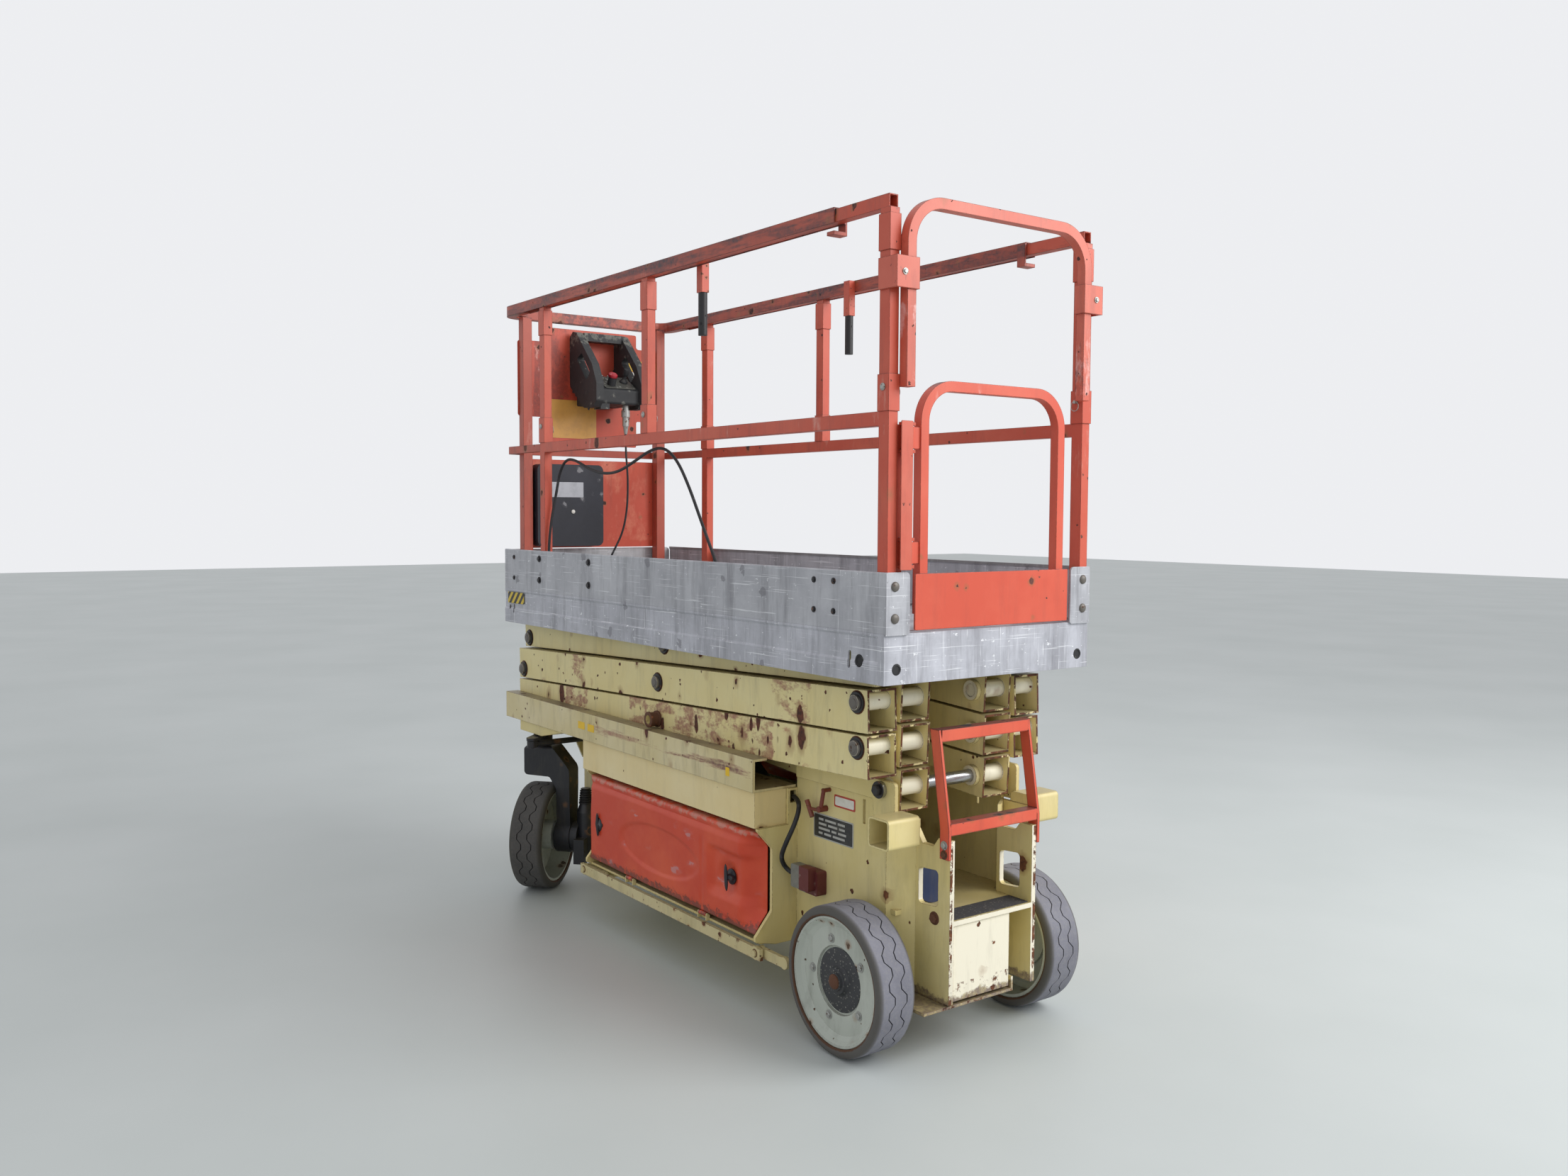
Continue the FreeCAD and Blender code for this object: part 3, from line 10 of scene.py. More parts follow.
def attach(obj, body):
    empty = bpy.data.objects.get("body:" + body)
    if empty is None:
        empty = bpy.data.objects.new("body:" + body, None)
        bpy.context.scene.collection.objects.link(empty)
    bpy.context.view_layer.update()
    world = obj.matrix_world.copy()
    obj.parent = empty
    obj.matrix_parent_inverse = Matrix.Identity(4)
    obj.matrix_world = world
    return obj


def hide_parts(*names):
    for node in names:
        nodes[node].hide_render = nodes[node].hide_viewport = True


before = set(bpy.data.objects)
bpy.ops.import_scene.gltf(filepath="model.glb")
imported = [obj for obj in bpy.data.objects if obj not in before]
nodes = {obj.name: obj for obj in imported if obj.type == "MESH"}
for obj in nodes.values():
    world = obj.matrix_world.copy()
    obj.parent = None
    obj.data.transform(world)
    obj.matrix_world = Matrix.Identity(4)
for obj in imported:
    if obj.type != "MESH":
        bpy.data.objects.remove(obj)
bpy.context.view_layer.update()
scene = bpy.context.scene


# The photograph's standpoint: behind the machine's left rear corner, at eye height.
# The wide lens of a telephone is 29.5 mm on a 36 mm frame.
eye = (-3.596, 2.469, 1.459)
yaw = -0.62868
pitch = -0.05906
roll = 0.00516
ahead = Vector((math.cos(yaw) * math.cos(pitch), math.sin(yaw) * math.cos(pitch), math.sin(pitch)))
level_right = Vector((math.sin(yaw), -math.cos(yaw), 0))
level_up = level_right.cross(ahead)
right = level_right * math.cos(roll) + level_up * math.sin(roll)
up = level_up * math.cos(roll) - level_right * math.sin(roll)
lens = bpy.data.cameras.new("photo_camera")
lens.sensor_width = 36
lens.lens = 29.507
lens.clip_end = 200
camera = bpy.data.objects.new("photo_camera", lens)
scene.collection.objects.link(camera)
camera.matrix_world = Matrix((
    (right.x, up.x, -ahead.x, eye[0]),
    (right.y, up.y, -ahead.y, eye[1]),
    (right.z, up.z, -ahead.z, eye[2]),
    (0, 0, 0, 1),
))
scene.camera = camera
scene.view_settings.view_transform = "Standard"


# Plain studio: a pale floor, an even sky and one broad soft lamp high behind the machine.
# The colours of the machine come from its paint, so the light stays white and level.
def linear(code):
    """sRGB hex colour as linear RGBA: each channel through the sRGB curve."""
    raw = np.array([int(code[i:i + 2], 16) for i in (1, 3, 5)]) / 255
    value = np.where(raw <= 0.04045, raw / 12.92, ((raw + 0.055) / 1.055) ** 2.4)
    return (float(value[0]), float(value[1]), float(value[2]), 1.0)


def put(tree, kind, inputs, **settings):
    """Add one node, set its own settings, and feed each input with a value or from a socket."""
    node = tree.nodes.new(kind)
    for name, value in settings.items():
        setattr(node, name, value)
    for name, value in inputs.items():
        socket = node.inputs[name]
        if isinstance(value, bpy.types.NodeSocket):
            tree.links.new(value, socket)
        else:
            socket.default_value = value
    return node


def fresh(name):
    """New material: gives it with its tree, its shader and the place on the object, in metres."""
    material = bpy.data.materials.new(name)
    material.use_nodes = True
    tree = material.node_tree
    place = put(tree, "ShaderNodeTexCoord", {}).outputs["Object"]
    return material, tree, tree.nodes["Principled BSDF"], place


def build(name, shapes, material, body=None, closed=True):
    """One mesh object from pairs of points and quads: doubled points merge and closed shells turn outward."""
    points = []
    faces = []
    count = 0
    for some, quads in shapes:
        some = np.asarray(some, float).reshape(-1, 3)
        points.append(some)
        faces += (np.asarray(quads) + count).tolist()
        count += len(some)
    mesh = bpy.data.meshes.new(name)
    mesh.from_pydata(np.concatenate(points).tolist(), [], faces)
    shell = bmesh.new()
    shell.from_mesh(mesh)
    bmesh.ops.remove_doubles(shell, verts=shell.verts, dist=1e-6)
    if closed:
        bmesh.ops.recalc_face_normals(shell, faces=shell.faces)
    shell.to_mesh(mesh)
    shell.free()
    mesh.polygons.foreach_set("use_smooth", np.full(len(mesh.polygons), True))
    mesh.set_sharp_from_angle(angle=math.radians(38))
    mesh.materials.append(material)
    mesh.update()
    made = bpy.data.objects.new(name, mesh)
    scene.collection.objects.link(made)
    if body:
        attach(made, body)
    return made


world = bpy.data.worlds.new("studio")
scene.world = world
world.use_nodes = True
sky = world.node_tree
rays = put(sky, "ShaderNodeLightPath", {})
seen = put(sky, "ShaderNodeMath", {0: rays.outputs["Is Camera Ray"], 1: rays.outputs["Is Glossy Ray"]},
           operation="MAXIMUM")
strength = put(sky, "ShaderNodeMapRange", {"Value": seen.outputs[0], "To Min": 0.66, "To Max": 0.88})
sky.nodes["Background"].inputs["Color"].default_value = linear("#fbfcff")
sky.links.new(strength.outputs[0], sky.nodes["Background"].inputs["Strength"])

lamp = bpy.data.lights.new("soft_lamp", "AREA")
lamp.shape = "RECTANGLE"
lamp.size = 4.5
lamp.size_y = 3.5
lamp.energy = 300
lamp_holder = bpy.data.objects.new("soft_lamp", lamp)
scene.collection.objects.link(lamp_holder)
lamp_holder.location = (-4.8, -3.0, 4.3)
lamp_holder.rotation_euler = (Vector((0, 0, 0.9)) - lamp_holder.location).to_track_quat("-Z", "Y").to_euler()

concrete, tree, shader, place = fresh("pale_floor")
cloud = put(tree, "ShaderNodeTexNoise", {"Vector": place, "Scale": 0.9, "Detail": 5.0})
tone = put(tree, "ShaderNodeMixRGB", {"Fac": cloud.outputs["Fac"], "Color1": linear("#b9c0be"),
                                      "Color2": linear("#cdd2d1")})
tree.links.new(tone.outputs[0], shader.inputs["Base Color"])
shader.inputs["Roughness"].default_value = 0.5
floor_reach = 30
corners = [(x * floor_reach, y * floor_reach, 0) for x, y in ((-1, -1), (1, -1), (1, 1), (-1, 1))]
build("floor", [(corners, [(0, 1, 2, 3)])], concrete, closed=False)


# Chassis: mild steel plate, welded and sprayed cream, with many years of knocks.
# The enamel has chipped in round spots with brown halos, and every cut edge has begun to rust.
def chips(tree, place, spacing, share, ragged=0.35, tallness=1.0):
    """Masks of round chips and their halos: in each cell of a grid, a disc of random size less the distance from
    its middle, the place shaken by noise. Spacing is in metres, share is the part of the cells that chip."""
    drawn = put(tree, "ShaderNodeMapping", {"Vector": place, "Scale": (1.0, 1.0, 1.0 / tallness)})
    shake = put(tree, "ShaderNodeTexNoise", {"Vector": drawn.outputs[0], "Scale": 2.4 / spacing, "Detail": 3.0})
    moved = put(tree, "ShaderNodeVectorMath", {0: shake.outputs["Color"], 1: (ragged * spacing,) * 3,
                                               2: drawn.outputs[0]}, operation="MULTIPLY_ADD")
    cell = put(tree, "ShaderNodeTexVoronoi", {"Vector": moved.outputs[0], "Scale": 1 / spacing})
    luck = put(tree, "ShaderNodeSeparateColor", {"Color": cell.outputs["Color"]})
    size = put(tree, "ShaderNodeMapRange", {"Value": luck.outputs[0], "From Min": 1 - share, "To Max": 0.40})
    depth = put(tree, "ShaderNodeMath", {0: size.outputs[0], 1: cell.outputs["Distance"]}, operation="SUBTRACT")
    chip = put(tree, "ShaderNodeMapRange", {"Value": depth.outputs[0], "From Min": 0.012, "From Max": 0.05})
    near = put(tree, "ShaderNodeMapRange", {"Value": depth.outputs[0], "From Min": -0.20, "From Max": 0.03})
    real = put(tree, "ShaderNodeMapRange", {"Value": size.outputs[0], "From Min": 0.03, "From Max": 0.12})
    halo = put(tree, "ShaderNodeMath", {0: near.outputs[0], 1: real.outputs[0]}, operation="MULTIPLY")
    return chip.outputs[0], halo.outputs[0]


def inside(tree, place, low, high, soft=0.09):
    """One within a box and nothing outside it: the least distance to its six sides over a soft margin."""
    over = put(tree, "ShaderNodeVectorMath", {0: place, 1: low}, operation="SUBTRACT")
    under = put(tree, "ShaderNodeVectorMath", {0: high, 1: place}, operation="SUBTRACT")
    least = put(tree, "ShaderNodeVectorMath", {0: over.outputs[0], 1: under.outputs[0]}, operation="MINIMUM")
    parts = put(tree, "ShaderNodeSeparateXYZ", {"Vector": least.outputs[0]})
    two = put(tree, "ShaderNodeMath", {0: parts.outputs[0], 1: parts.outputs[1]}, operation="MINIMUM")
    depth = put(tree, "ShaderNodeMath", {0: two.outputs[0], 1: parts.outputs[2]}, operation="MINIMUM")
    return put(tree, "ShaderNodeMapRange", {"Value": depth.outputs[0], "From Max": soft}).outputs[0]


def worn_edges(tree, width):
    """Mask of edges: where the normal of a corner rounded to a width leaves the face's own normal. It also
    gives the rounded normal and the plain one."""
    soft = put(tree, "ShaderNodeBevel", {"Radius": width}, samples=4)
    face = put(tree, "ShaderNodeNewGeometry", {})
    agree = put(tree, "ShaderNodeVectorMath", {0: soft.outputs[0], 1: face.outputs["True Normal"]},
                operation="DOT_PRODUCT")
    rim = put(tree, "ShaderNodeMapRange", {"Value": agree.outputs["Value"], "From Min": 0.985, "From Max": 0.86})
    return rim.outputs[0], soft.outputs[0], face.outputs["Normal"]


def blend(tree, share, under, over):
    """Colour over another by a share, each a hex code or a socket."""
    both = [linear(c) if isinstance(c, str) else c for c in (under, over)]
    return put(tree, "ShaderNodeMixRGB", {"Fac": share, "Color1": both[0], "Color2": both[1]}).outputs[0]


def clouds(tree, place, scale, detail, rough, low, high, top=1.0):
    """Cloudy mask: noise cut between two levels, from nothing up to top. It also gives the noise itself."""
    noise = put(tree, "ShaderNodeTexNoise", {"Vector": place, "Scale": scale, "Detail": detail, "Roughness": rough})
    cut = put(tree, "ShaderNodeMapRange", {"Value": noise.outputs["Fac"], "From Min": low, "From Max": high,
                                           "To Max": top})
    return cut.outputs[0], noise.outputs["Fac"]


def surface(tree, shader, colour, rough, height, strength, depth, **normal):
    """Feed a shader its colour, its roughness and a relief: height from 0 to 1 times a depth in metres."""
    tree.links.new(colour, shader.inputs["Base Color"])
    if isinstance(rough, float):
        shader.inputs["Roughness"].default_value = rough
    else:
        tree.links.new(rough, shader.inputs["Roughness"])
    relief = put(tree, "ShaderNodeBump", {"Height": height, "Strength": strength, "Distance": depth, **normal})
    tree.links.new(relief.outputs[0], shader.inputs["Normal"])


def worn_paint(name, coat, faded, rust="#7d4a2a", deep="#3a2218", share=0.25, spot=0.055, tall=1.0, small=0.4,
               zones=(), drips=(), edge=0.0026, edge_level=0.47, ends=(), painted_highlight_end=None, gloss=0.45, grime=0.35,
               dust="#6f6450", topped=0.45, pins=()):
    """Sprayed enamel on steel: two faded tones, chips with halos, rusty edges and dusty tops. Zones are boxes
    (low corner, high corner, tint, level, stretch) tinted where noise passes the level, mostly rubbed through,
    drips are boxes full of long chips, and ends are boxes whose rear faces have rusted. A painted highlight
    end is a box whose rear faces are painted near white, a painted highlight of the lamp behind the machine.
    Pins (middle, reach, low, step) draws white sleeves round the rows of the arms' pins."""
    material, tree, shader, place = fresh(name)
    swing, cloud = clouds(tree, place, 3.2, 8.0, 0.62, 0.38, 0.66)
    depth, fine = clouds(tree, place, 75.0, 6.0, 0.7, 0.36, 0.62)
    colour = blend(tree, swing, coat, faded)
    rim, soft, facing = worn_edges(tree, edge)
    sideways = put(tree, "ShaderNodeSeparateXYZ", {"Vector": facing})
    rearward = put(tree, "ShaderNodeMath", {0: sideways.outputs[0], 1: -0.9}, operation="LESS_THAN").outputs[0]
    # Painted highlight: rear faces inside the box are painted near white for the lamp behind the machine.
    if painted_highlight_end:
        lit = put(tree, "ShaderNodeMath", {0: inside(tree, place, painted_highlight_end[0], painted_highlight_end[1], 0.002), 1: rearward},
                  operation="MULTIPLY")
        colour = blend(tree, lit.outputs[0], colour, "#f3ecd6")
    if pins:
        middle, reach, lowest, step = pins
        spots = put(tree, "ShaderNodeSeparateXYZ", {"Vector": place})
        along = put(tree, "ShaderNodeMath", {0: spots.outputs[0], 1: middle}, operation="SUBTRACT")
        away = put(tree, "ShaderNodeMath", {0: along.outputs[0]}, operation="ABSOLUTE")
        dx = put(tree, "ShaderNodeMath", {0: away.outputs[0], 1: reach}, operation="SUBTRACT")
        height = put(tree, "ShaderNodeMath", {0: spots.outputs[2], 1: lowest}, operation="SUBTRACT")
        dz = put(tree, "ShaderNodeMath", {0: height.outputs[0], 1: step / 2}, operation="PINGPONG")
        flat = put(tree, "ShaderNodeCombineXYZ", {0: dx.outputs[0], 2: dz.outputs[0]})
        far = put(tree, "ShaderNodeVectorMath", {0: flat.outputs[0]}, operation="LENGTH")
        sleeve = put(tree, "ShaderNodeMapRange", {"Value": far.outputs["Value"], "From Min": 0.0285,
                                                  "From Max": 0.0265})
        colour = blend(tree, sleeve.outputs[0], colour, "#f0ead2")
    drawn = put(tree, "ShaderNodeMapping", {"Vector": place, "Scale": (9.0, 9.0, 1.6)})
    dirt = clouds(tree, drawn.outputs[0], 2.4, 7.0, 0.7, 0.50, 0.82, grime)[0]
    colour = blend(tree, dirt, colour, dust)
    uneven = put(tree, "ShaderNodeMapRange", {"Value": fine, "From Min": 0.42, "From Max": 0.66, "To Max": 0.55})
    for low, high, tint, level, stretch in zones:
        rubbed = put(tree, "ShaderNodeMapping", {"Vector": place, "Scale": stretch})
        torn = put(tree, "ShaderNodeTexNoise", {"Vector": rubbed.outputs[0], "Scale": 1.0, "Detail": 10.0,
                                                "Roughness": 0.7})
        sure = put(tree, "ShaderNodeMath", {0: torn.outputs["Fac"], 1: inside(tree, place, low, high)},
                   operation="ADD")
        bared = put(tree, "ShaderNodeMapRange", {"Value": sure.outputs[0], "From Min": 1 + level,
                                                 "From Max": 1.09 + level, "To Max": 0.92})
        colour = blend(tree, bared.outputs[0], colour, blend(tree, uneven.outputs[0], tint, coat))
    big, stain = chips(tree, place, spot, share, tallness=tall)
    little = chips(tree, place, spot * 0.33, share * small, ragged=0.6)[0]
    wash = put(tree, "ShaderNodeMath", {0: stain, 1: 0.55}, operation="MULTIPLY")
    colour = blend(tree, wash.outputs[0], colour, "#94683f")
    broken = put(tree, "ShaderNodeMath", {0: fine, 1: rim}, operation="MULTIPLY")
    chipped = put(tree, "ShaderNodeMapRange", {"Value": broken.outputs[0], "From Min": edge_level,
                                               "From Max": edge_level + 0.05})
    gone = put(tree, "ShaderNodeMath", {0: big, 1: chipped.outputs[0]}, operation="MAXIMUM")
    coarse = put(tree, "ShaderNodeTexNoise", {"Vector": place, "Scale": 30.0, "Detail": 8.0, "Roughness": 0.75})
    for low, high, level in ends:
        close = put(tree, "ShaderNodeMath", {0: inside(tree, place, low, high, 0.002), 1: rearward},
                    operation="MULTIPLY")
        eaten = put(tree, "ShaderNodeMath", {0: coarse.outputs["Fac"], 1: close.outputs[0]}, operation="ADD")
        bare = put(tree, "ShaderNodeMapRange", {"Value": eaten.outputs[0], "From Min": 1 + level,
                                                "From Max": 1.05 + level})
        gone = put(tree, "ShaderNodeMath", {0: bare.outputs[0], 1: gone.outputs[0]}, operation="MAXIMUM")
    gone = put(tree, "ShaderNodeMath", {0: little, 1: gone.outputs[0]}, operation="MAXIMUM")
    for low, high in drips:
        run = chips(tree, place, 0.042, 0.9, tallness=2.2)[0]
        here = put(tree, "ShaderNodeMath", {0: run, 1: inside(tree, place, low, high)}, operation="MULTIPLY")
        gone = put(tree, "ShaderNodeMath", {0: here.outputs[0], 1: gone.outputs[0]}, operation="MAXIMUM")
    colour = blend(tree, gone.outputs[0], colour, blend(tree, depth, deep, rust))
    above = put(tree, "ShaderNodeMapRange", {"Value": sideways.outputs[2], "From Min": 0.75, "From Max": 0.95})
    settled = put(tree, "ShaderNodeMapRange", {"Value": cloud, "From Min": 0.25, "From Max": 0.62,
                                               "To Min": topped * 0.5, "To Max": topped})
    film = put(tree, "ShaderNodeMath", {0: above.outputs[0], 1: settled.outputs[0]}, operation="MULTIPLY")
    colour = blend(tree, film.outputs[0], colour, dust)
    dull = put(tree, "ShaderNodeMapRange", {"Value": gone.outputs[0], "To Min": gloss, "To Max": 0.85})
    height = put(tree, "ShaderNodeMath", {0: gone.outputs[0], 1: -1.0, 2: cloud}, operation="MULTIPLY_ADD")
    surface(tree, shader, colour, dull.outputs[0], height.outputs[0], 0.35, 0.0006, Normal=soft)
    return material


def dress(material, *names):
    """Give each named CAD node its material."""
    for name in names:
        mesh = nodes[name].data
        mesh.materials.clear()
        mesh.materials.append(material)


blot = (14.0, 14.0, 14.0)
along_x = (3.5, 14.0, 38.0)
# The tail end's rear faces are painted near white: a painted highlight of the lamp behind the machine.
cream_enamel = worn_paint("cream_enamel_on_plate", "#dccb89", "#e5d69d", share=0.09, spot=0.07, grime=0.3,
                          edge_level=0.44, painted_highlight_end=((-1.3, -0.18, 0.13), (-1.0, 0.18, 0.60)),
                          ends=[((-1.3, -0.18, 0.12), (-1.1, -0.150, 0.60), 0.47),
                                ((-1.3, 0.150, 0.12), (-1.1, 0.18, 0.60), 0.47),
                                ((-1.3, -0.15, 0.12), (-1.0, 0.15, 0.215), 0.545)],
                          # The first zone turns the frame's rear part below 0.245 m darker grey brown towards the
                          # floor.
                          zones=[((-1.50, -0.60, -0.10), (-0.6, 0.6, 0.245), "#75625a", 0.22, blot),
                                 ((-1.17, 0.08, 0.30), (-1.05, 0.24, 0.45), "#8a5a35", 0.56, blot),
                                 # The third zone scatters near-white spots over the plates just above the step: a
                                 # painted highlight of light from behind.
                                 ((-1.08, 0.15, 0.39), (-0.95, 0.29, 0.51), "#efe9dc", 0.50, (40.0, 40.0, 40.0))])
box_enamel = worn_paint("cream_enamel_on_boxes", "#ead49a", "#f0dfae", share=0.03, spot=0.05, small=0.1, grime=0.15)
guard_enamel = worn_paint("knocked_cream_enamel", "#cdbf8c", "#d8cb9c", share=0.3, spot=0.03, grime=0.5,
                          edge_level=0.42)
channel_enamel = worn_paint("scuffed_cream_enamel", "#d6c692", "#e2d5ac", rust="#6d3f35", share=0.25, spot=0.05,
                            tall=1.8, edge_level=0.38, grime=0.55, topped=0.9, dust="#5d4c38",
                            zones=[((-0.65, 0.25, 0.60), (0.50, 0.5, 0.80), "#a77b66", 0.50, along_x),
                                   ((-0.65, 0.25, 0.60), (0.15, 0.5, 0.80), "#65403a", 0.555, along_x),
                                   ((-0.70, -0.5, 0.60), (-0.50, 0.5, 0.80), "#7d4a2a", 0.50, blot)])
dress(cream_enamel, "chassis_frame")
dress(box_enamel, "side_boxes")
dress(guard_enamel, "guard_bars", "guard_cranks_rear", "guard_cranks_front")
dress(channel_enamel, "slide_channels")


def outline(width, height, corner, count=6):
    """Rounded rectangle: four quarter circles of points, each about the centre of its own corner."""
    quarter = np.repeat(np.arange(4), count)
    angle = quarter * math.pi / 2 + np.tile(np.linspace(0, math.pi / 2, count), 4)
    sign = np.array([(1, 1), (-1, 1), (-1, -1), (1, -1)])[quarter]
    return sign * (np.array([width, height]) / 2 - corner) + corner * np.stack([np.cos(angle), np.sin(angle)], -1)


def grid_faces(rows, turns, close=False, wrap=True):
    """Quads between neighbouring rows of a grid, joined round its second direction."""
    last = rows if close else rows - 1
    step = np.arange(turns if wrap else turns - 1)
    a = np.arange(last)[:, None] * turns + step[None]
    b = np.arange(last)[:, None] * turns + (step[None] + 1) % turns
    up_a = (a + turns) % (rows * turns)
    up_b = (b + turns) % (rows * turns)
    return np.stack([a, b, up_b, up_a], -1).reshape(-1, 4)


def slab(back, across, upward, size, corner, bevel=0.0005):
    """Plate with rounded corners: its outline carried from the middle of the back, over the rim, to the
    middle of the front, which lies towards across x upward."""
    width, height, thick = size
    across = Vector(across).normalized()
    upward = Vector(upward).normalized()
    outward = across.cross(upward)
    ring = outline(width, height, corner)
    inner = outline(width - 2 * bevel, height - 2 * bevel, corner - bevel)
    rows = [(ring * 0, 0), (ring, 0), (ring, thick - bevel), (inner, thick), (ring * 0, thick)]
    points = [np.array(back) + np.outer(r[:, 0], across) + np.outer(r[:, 1], upward) + t * np.array(outward)
              for r, t in rows]
    return np.concatenate(points), grid_faces(len(rows), len(ring))


def lathe(profile, turns, origin, axis, close=False):
    """Surface of revolution: point = origin + axis * profile x + profile r * (cos t, sin t) across the axis."""
    axis = Vector(axis).normalized()
    side = axis.orthogonal().normalized()
    other = axis.cross(side)
    profile = np.asarray(profile, float)
    angle = np.linspace(0, 2 * math.pi, turns, endpoint=False)
    ring = np.outer(np.cos(angle), side) + np.outer(np.sin(angle), other)
    along = profile[:, 0, None, None] * np.array(axis)
    points = np.array(origin) + along + profile[:, 1, None, None] * ring[None]
    return points.reshape(-1, 3), grid_faces(len(profile), turns, close=close)


def bolt(spot, axis, radius):
    """Hexagon head on a round washer, both turned about the bolt's axis and closed at their middles."""
    high = radius * 0.8
    head = [(0.001, 0), (0.001, radius), (high * 0.8, radius), (high, radius * 0.82), (high, 0)]
    washer = [(0, 0), (0, radius * 1.45), (0.0018, radius * 1.4), (0.002, 0)]
    return [lathe(head, 6, spot, axis), lathe(washer, 20, spot, axis)]


def plain_metal(name, code, rough, metal, spots, share, spot):
    """Bare, plated or oiled metal with a faint cloud in its roughness, and spots of another colour."""
    material, tree, shader, place = fresh(name)
    fine = put(tree, "ShaderNodeTexNoise", {"Vector": place, "Scale": 120.0, "Detail": 6.0, "Roughness": 0.7})
    mask, halo = chips(tree, place, spot, share)
    some = put(tree, "ShaderNodeMath", {0: halo, 1: 0.6, 2: mask}, operation="MULTIPLY_ADD", use_clamp=True)
    shader.inputs["Metallic"].default_value = metal
    dull = put(tree, "ShaderNodeMapRange", {"Value": fine.outputs["Fac"], "To Min": rough - 0.12,
                                            "To Max": rough + 0.12})
    colour = blend(tree, some.outputs[0], code, spots)
    surface(tree, shader, colour, dull.outputs[0], fine.outputs["Fac"], 0.25, 0.0005)
    return material


zinc_steel = plain_metal("zinc_plated_steel", "#a9aaa6", 0.42, 0.6, "#6d5a48", 0.35, 0.008)
black_oxide = plain_metal("oiled_black_steel", "#242225", 0.42, 0.0, "#5a3826", 0.35, 0.014)
rusty_steel = plain_metal("rusted_steel", "#5f3d2a", 0.8, 0.0, "#8a5635", 0.6, 0.01)
dress(zinc_steel, "rear_axles")

guard_washer = [(0, 0), (0, 0.0125), (0.0012, 0.0122), (0.0016, 0.0080), (0.0018, 0)]
guard_washers = [lathe(guard_washer, 24, (x, side * 0.3762, 0.178), (0, side, 0))
                 for side in (1, -1) for x in (0.494, -0.582)]
build("guard_washers", guard_washers, rusty_steel, "guards")
rusty_bolts = []
dark_heads = []
for side in (1, -1):
    rusty_bolts += bolt((-1.112, side * 0.1622, 0.381), (0, side, 0), 0.0125)
    dark_heads += bolt((-0.977, side * 0.2482, 0.713), (0, side, 0), 0.0165)
build("tail_bolts", rusty_bolts, rusty_steel, "chassis")
build("pivot_heads", dark_heads, black_oxide, "chassis")


# Plates on the left side plate: a black anodised data plate in a bare aluminium rim, and a white film label
# with a red rim. Small yellow film stickers sit on the slide channel. All are glued on.
def film(name, code, grubby):
    """Printed film or anodised sheet: one even colour, dusty in soft clouds."""
    material, tree, shader, place = fresh(name)
    dirt, cloud = clouds(tree, place, 22.0, 8.0, 0.7, 0.46, 0.72, 0.55)
    surface(tree, shader, blend(tree, dirt, code, grubby), 0.4, cloud, 0.1, 0.0003)
    return material


etched_black = film("etched_black_aluminium", "#2a2b2e", "#5a5850")
bare_rim = film("bare_aluminium_rim", "#b9b9b4", "#8a877a")
white_film = film("white_label_film", "#e6e4dc", "#b9b3a2")
red_film = film("red_label_film", "#b83a2c", "#8a5547")
yellow_film = film("yellow_label_film", "#f0c41c", "#c9a63a")
plate_y = 0.2242
outer_side = 0.3802
for name, x, z, width, height, lift, material in (
        ("data_plate_rim", -0.754, 0.555, 0.182, 0.072, 0.0, bare_rim),
        ("data_plate", -0.754, 0.555, 0.174, 0.064, 0.0007, etched_black),
        ("side_label_rim", -0.805, 0.6415, 0.094, 0.035, 0.0, red_film),
        ("side_label", -0.805, 0.6415, 0.084, 0.025, 0.0005, white_film)):
    plate = slab((x, plate_y + lift, z), (-1, 0, 0), (0, 0, 1), (width, height, 0.0008), 0.004, 0.0002)
    build(name, [plate], material, "chassis")
cells = []
cell_left = -0.684
cell_top = 0.5755
cell_pitch = 0.0135
cell_gap = 0.008
cell_rows = ((0.030, 0.058, 0.040), (0.044, 0.050, 0.034), (0.060, 0.030, 0.044), (0.026, 0.040, 0.062))
for row, widths in enumerate(cell_rows):
    left = cell_left
    for width in widths:
        spot = (left - width / 2, plate_y + 0.0016, cell_top - row * cell_pitch)
        cells.append(slab(spot, (-1, 0, 0), (0, 0, 1), (width - cell_gap, 0.0065, 0.0003), 0.0008, 0.0001))
        left -= width
build("data_plate_cells", cells, bare_rim, "chassis")
patches = [slab((x, outer_side, z), (-1, 0, 0), (0, 0, 1), (width, height, 0.0006), 0.003, 0.0002)
           for x, z, width, height in ((0.500, 0.697, 0.050, 0.026), (0.428, 0.696, 0.048, 0.026),
                                       (-0.442, 0.688, 0.020, 0.026))]
build("channel_stickers", patches, yellow_film, "chassis")


